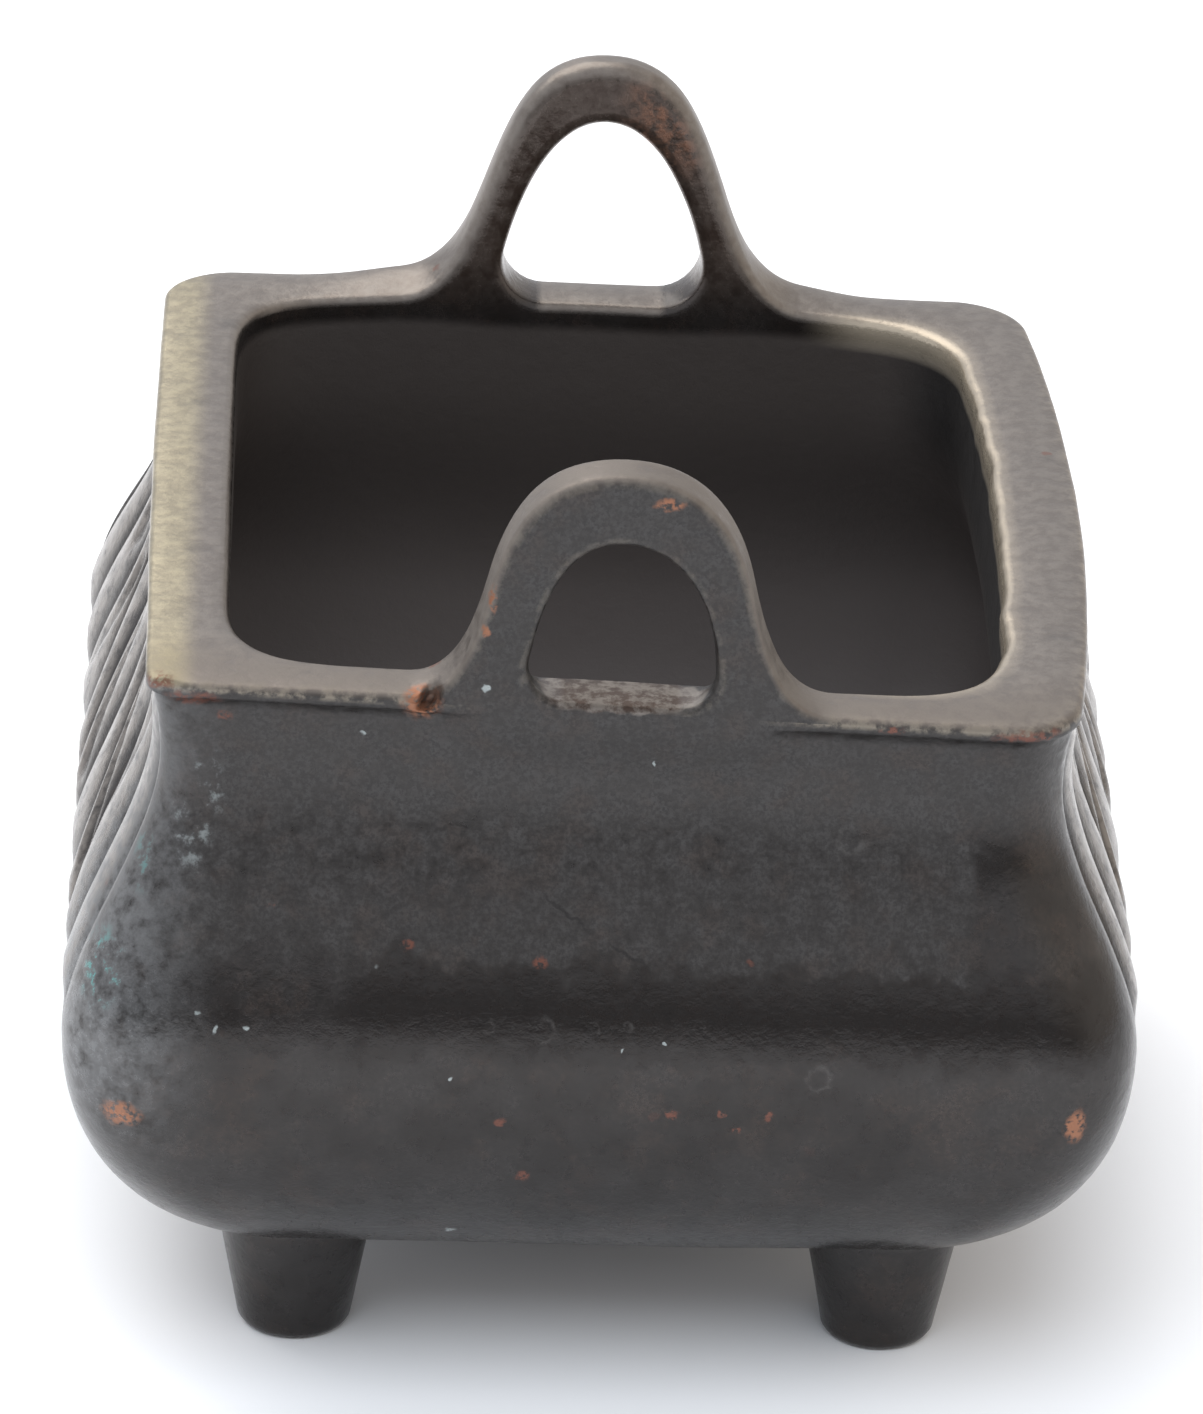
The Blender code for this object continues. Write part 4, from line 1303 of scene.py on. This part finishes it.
def patina_and_painted_light(look, ragged_height, fine, broad, haze, inside):
    """The dark patina: hazy above the belly, with a darker band that is a painted dark reflection, and
    black or worn on the strands.
    """
    colour = look.mix(look.ramp(broad, *GREY_FADE), GREY_PATINA, DARK_PATINA)
    colour = look.mix(haze, colour, HAZE)
    brown = look.ramp(look.noise(*BROWN_NOISE), *BROWN_FADE)
    colour = look.tint(colour, BROWN_PATINA, brown, BROWN_STRENGTH)
    # Painted reflection: a darker band over the front belly, where it mirrors the dark front of the
    # room
    painted_reflection_band = look.times(look.ramp(ragged_height, *BAND_FOOT), look.ramp(ragged_height, *BAND_TOP))
    across = look.math("ADD", look.x, look.times(broad, BAND_SWAY))
    colour = look.tint(colour, PAINTED_DARK_REFLECTION, painted_reflection_band, look.ramp(across, *BAND_LEFT), BAND_STRENGTH)
    grain = look.ramp(look.noise(*GRAIN_NOISE), *GRAIN_FADE)
    colour = look.tint(colour, BLACK_HOLLOW, grain, GRAIN_STRENGTH)
    colour = look.tint(colour, BLACK_HOLLOW, look.ramp(fine, *DEEP_FADE), DEEP_STRENGTH)
    hollow = look.mark("hollow")
    colour = look.mix(look.ramp(hollow, *GROOVE_FADE), colour, BLACK_HOLLOW)
    crest = look.times(look.ramp(hollow, *CREST_FADE), look.ramp(fine, *CREST_WEAR_FADE))
    colour = look.tint(colour, WORN_GREY, crest, CREST_STRENGTH)
    at_back = look.times(look.ramp(look.y, *BACK_HANDLE_DEPTH), look.ramp(look.z, *BACK_HANDLE_HEIGHT))
    handle = look.mix(look.ramp(fine, *HANDLE_FADE), BROWN_PATINA, HANDLE_BROWN)
    colour = look.mix(at_back, colour, handle)
    glow = look.times(look.near(COPPER_GLOW, GLOW_EDGE), look.ramp(fine, *GLOW_FADE))
    colour = look.tint(colour, COPPER, glow, GLOW_STRENGTH)
    corner = look.times(look.ramp(look.x, *DUST_ACROSS), look.ramp(look.y, *DUST_DEPTH))
    corner = look.times(corner, look.ramp(look.z, *DUST_HEIGHT), look.ramp(fine, *DUST_FADE))
    colour = look.tint(colour, DUST, corner, DUST_STRENGTH)
    soot = look.mix(look.ramp(look.z, *SOOT_HEIGHT), SOOT, BARE_INSIDE)
    shaded = look.times(look.ramp(look.x, *SHADE_ACROSS), look.ramp(look.z, *SHADE_HEIGHT))
    soot = look.mix(shaded, soot, BLACK_HOLLOW)
    return look.mix(inside, colour, soot)


def wear_and_painted_light(look, colour, fine, broad):
    """Wear the rim's top and the edges, with a painted warm reflection in gold on the rim's left and
    painted highlights on the pale edges, and give how worn each place is.
    """
    # Painted warm reflection: the worn top of the rim's left side turns gold on its outer half
    tone = look.mix(look.ramp(look.x, *WARM_REFLECTION_ACROSS), WORN_GREY, WEAR_AND_WARM_REFLECTION)
    tone = look.tint(tone, BROWN_PATINA, look.ramp(fine, *WORN_BROWN_FADE), WORN_BROWN_STRENGTH)
    wear = look.times(look.mark("top"), look.ramp(broad, *WEAR_FADE))
    colour = look.mix(wear, colour, tone)
    # Pale outer edges of the rim and handles: partly wear, partly a painted highlight
    edge = look.times(look.mark("outer_edge"), look.ramp(fine, *EDGE_FADE))
    colour = look.tint(colour, PALE_WEAR_AND_HIGHLIGHT, edge, EDGE_STRENGTH)
    # Painted highlight with some wear: a warm pale band along the inner edge on the right, where the
    # rim's top tilts towards the light
    inner = look.times(look.mark("inner_edge"), look.ramp(look.x, *INNER_WEAR_AND_HIGHLIGHT_ACROSS))
    colour = look.tint(colour, PALE_WEAR_AND_HIGHLIGHT, inner, look.ramp(fine, *INNER_WEAR_AND_HIGHLIGHT_FADE))
    rough = look.mix(look.ramp(fine, *SILL_FADE), BROWN_PATINA, WORN_GREY)
    return look.mix(look.near(SILL, SILL_EDGE), colour, rough), wear


def spotted(look, colour, fine, inside):
    """Rust and copper spots, verdigris and pale specks, none of them inside the vessel."""
    broken = look.ramp(look.noise(*BROKEN_NOISE), *BROKEN_FADE)
    kinds = (
        (RED_SPOTS, RED_BROWN, 0.75, broken),
        (COPPER_SPOTS, COPPER, 0.85, broken),
        (VERDIGRIS_SPOTS, VERDIGRIS, 0.9, look.ramp(fine, *VERDIGRIS_FADE)),
        (PALE_SPOTS, PALE_SPECK, 0.8, 1.0),
        (DUSTY_SPOTS, PALE_SPECK, 0.5, look.ramp(fine, *DUSTY_FADE)),
    )
    for spots, tone, strength, texture in kinds:
        colour = look.tint(colour, tone, look.near(spots, SPOT_EDGE), texture, strength)
    outside = look.math("SUBTRACT", 1.0, inside)
    colour = look.tint(colour, PALE_SPECK, look.specks(*PALE_SPECKS), outside, PALE_STRENGTH)
    return look.tint(colour, RED_BROWN, look.specks(*REDDISH_SPECKS), outside, REDDISH_STRENGTH)


def bubbled(look, colour, fine):
    """Scratches and the rings of casting bubbles on the front face."""
    on_front = look.ramp(look.y, *FRONT_FACE)
    lines = [look.line(start, end, width) for start, end, width in SCRATCHES]
    scratched = look.math("MAXIMUM", *lines)
    colour = look.tint(colour, BLACK_HOLLOW, scratched, on_front, SCRATCH_STRENGTH)
    rings = look.times(look.rings(BUBBLES), on_front, look.ramp(fine, *RING_FADE))
    return look.tint(colour, BUBBLE_GREY, rings, RING_STRENGTH)


# The floor: its width in millimetres, and its finish
FLOOR_SIZE = 4000.0
FLOOR_COLOUR = (0.93, 0.935, 0.95, 1.0)
FLOOR_ROUGHNESS = 0.9
FLOOR_SPECULAR = 0.1


def paper():
    """Plain pale floor."""
    look = Shading("pale_floor")
    look.shader.inputs["Base Color"].default_value = FLOOR_COLOUR
    look.shader.inputs["Roughness"].default_value = FLOOR_ROUGHNESS
    look.shader.inputs["Specular IOR Level"].default_value = FLOOR_SPECULAR
    return look.material


def floor():
    """A wide, flat floor under the burner."""
    mesh = bmesh.new()
    half = FLOOR_SIZE * MM / 2
    places = ((-half, -half), (half, -half), (half, half), (-half, half))
    mesh.faces.new([mesh.verts.new((x, y, 0.0)) for x, y in places])
    ground = make_object("floor", mesh)
    ground.data.materials.append(paper())


# Light: a bright room behind and above, dimmer at eye level in front, cooler on the left
SKY_TOP = 1.0
SKY_BACK = 1.05
SKY_FRONT = 0.08
SKY_COOL = (0.96, 0.98, 1.03)
SKY_WARM = (1.05, 0.98, 0.90)
SKY_SEEN = (0.96, 0.97, 1.0, 1.0)

# Where the dark front of the room begins and is full, as parts of the direction looked in
DARK_FRONT = (-0.3, -0.8)
DARK_FOOT = (0.0, 0.1)
DARK_TOP = (0.18, 0.42)
WARM_SIDE = (0.1, 0.7)

# Lamps: place and size in millimetres, power in watts, and colour
OVERHEAD = ((-250.0, 350.0, 650.0), 700.0, 4.0, (1.0, 0.96, 0.90))
FRONT_FILL = ((-60.0, -330.0, 560.0), 450.0, 2.0, (0.84, 0.92, 1.0))
LAMP_AIM = (0.0, 0.0, 30.0)


def sky():
    """Soft light from all around: bright above and behind, dark at eye level in front."""
    world = bpy.data.worlds.new("soft_studio")
    bpy.context.scene.world = world
    world.use_nodes = True
    world.node_tree.nodes.clear()
    look = Nodes(world.node_tree)
    x, y, z = look.split(look.node("ShaderNodeTexCoord", {}).outputs["Generated"])
    height = look.math("SUBTRACT", look.ramp(z, *DARK_FOOT), look.ramp(z, *DARK_TOP))
    dark = look.math("MAXIMUM", look.times(look.ramp(y, *DARK_FRONT), height), 0.0)
    open_sky = look.node("ShaderNodeMapRange", {0: z, 3: SKY_BACK, 4: SKY_TOP}).outputs[0]
    light = look.node("ShaderNodeMapRange", {0: dark, 3: open_sky, 4: SKY_FRONT}).outputs[0]
    warmth = look.node("ShaderNodeMapRange", {0: x, 1: WARM_SIDE[0], 2: WARM_SIDE[1]}).outputs[0]
    tone = look.mix(warmth, SKY_COOL, SKY_WARM)
    background = look.node("ShaderNodeBackground", {0: tone, 1: light}).outputs[0]
    seen = look.node("ShaderNodeBackground", {0: SKY_SEEN, 1: 1.0}).outputs[0]
    ray = look.node("ShaderNodeLightPath", {}).outputs["Is Camera Ray"]
    both = look.node("ShaderNodeMixShader", {0: ray, 1: background, 2: seen}).outputs[0]
    look.node("ShaderNodeOutputWorld", {0: both})


def look_rotation(place, aim, roll):
    """Matrix of a camera or light at a place that looks at an aim, turned about its line of sight."""
    ahead = (aim - place).normalized()
    right = ahead.cross(Vector((0.0, 0.0, 1.0))).normalized()
    above = right.cross(ahead)
    turned = math.cos(roll) * right + math.sin(roll) * above
    upward = math.cos(roll) * above - math.sin(roll) * right
    matrix = Matrix((turned, upward, -ahead)).transposed().to_4x4()
    matrix.translation = place * MM
    return matrix


def lamp(name, place, size, power, colour):
    """A soft square lamp that shines on the burner, and gives the lamp."""
    data = bpy.data.lights.new(name, "AREA")
    data.size = size * MM
    data.energy = power
    data.color = colour
    thing = bpy.data.objects.new(name, data)
    thing.matrix_world = look_rotation(Vector(place), Vector(LAMP_AIM), 0.0)
    bpy.context.scene.collection.objects.link(thing)
    return thing


# Camera, placed as the photograph was taken
VIEW_ELEVATION = math.radians(26.98)
VIEW_YAW = math.radians(-1.95)
VIEW_ROLL = math.radians(2.14)
VIEW_DISTANCE = 623.3
VIEW_CENTRE = (0.0, 0.0, 30.0)
VIEW_AIM = (0.45, 1.85, 33.6)
LENS = 231.8
SENSOR_WIDTH = 36.0
VIEW_LIMIT = 10.0


def camera():
    """The camera at the photograph's viewing angle."""
    data = bpy.data.cameras.new("camera")
    data.lens = LENS
    data.sensor_width = SENSOR_WIDTH
    data.clip_end = VIEW_LIMIT
    back = Vector((
        math.sin(VIEW_YAW) * math.cos(VIEW_ELEVATION),
        -math.cos(VIEW_YAW) * math.cos(VIEW_ELEVATION),
        math.sin(VIEW_ELEVATION),
    ))
    place = Vector(VIEW_CENTRE) + back * VIEW_DISTANCE
    thing = bpy.data.objects.new("camera", data)
    thing.matrix_world = look_rotation(place, Vector(VIEW_AIM), VIEW_ROLL)
    bpy.context.scene.collection.objects.link(thing)
    bpy.context.scene.camera = thing


bpy.context.scene.view_settings.view_transform = "Standard"
burner = cast_burner()
refine(burner.data)
weather(burner.data)
burner.data.shade_smooth()
burner.data.materials.clear()
burner.data.materials.append(bronze())
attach(burner, "root")
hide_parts("incense_burner")

floor()
sky()
lamp("overhead", *OVERHEAD)
fill = lamp("front_fill", *FRONT_FILL)
fill.visible_glossy = False
camera()
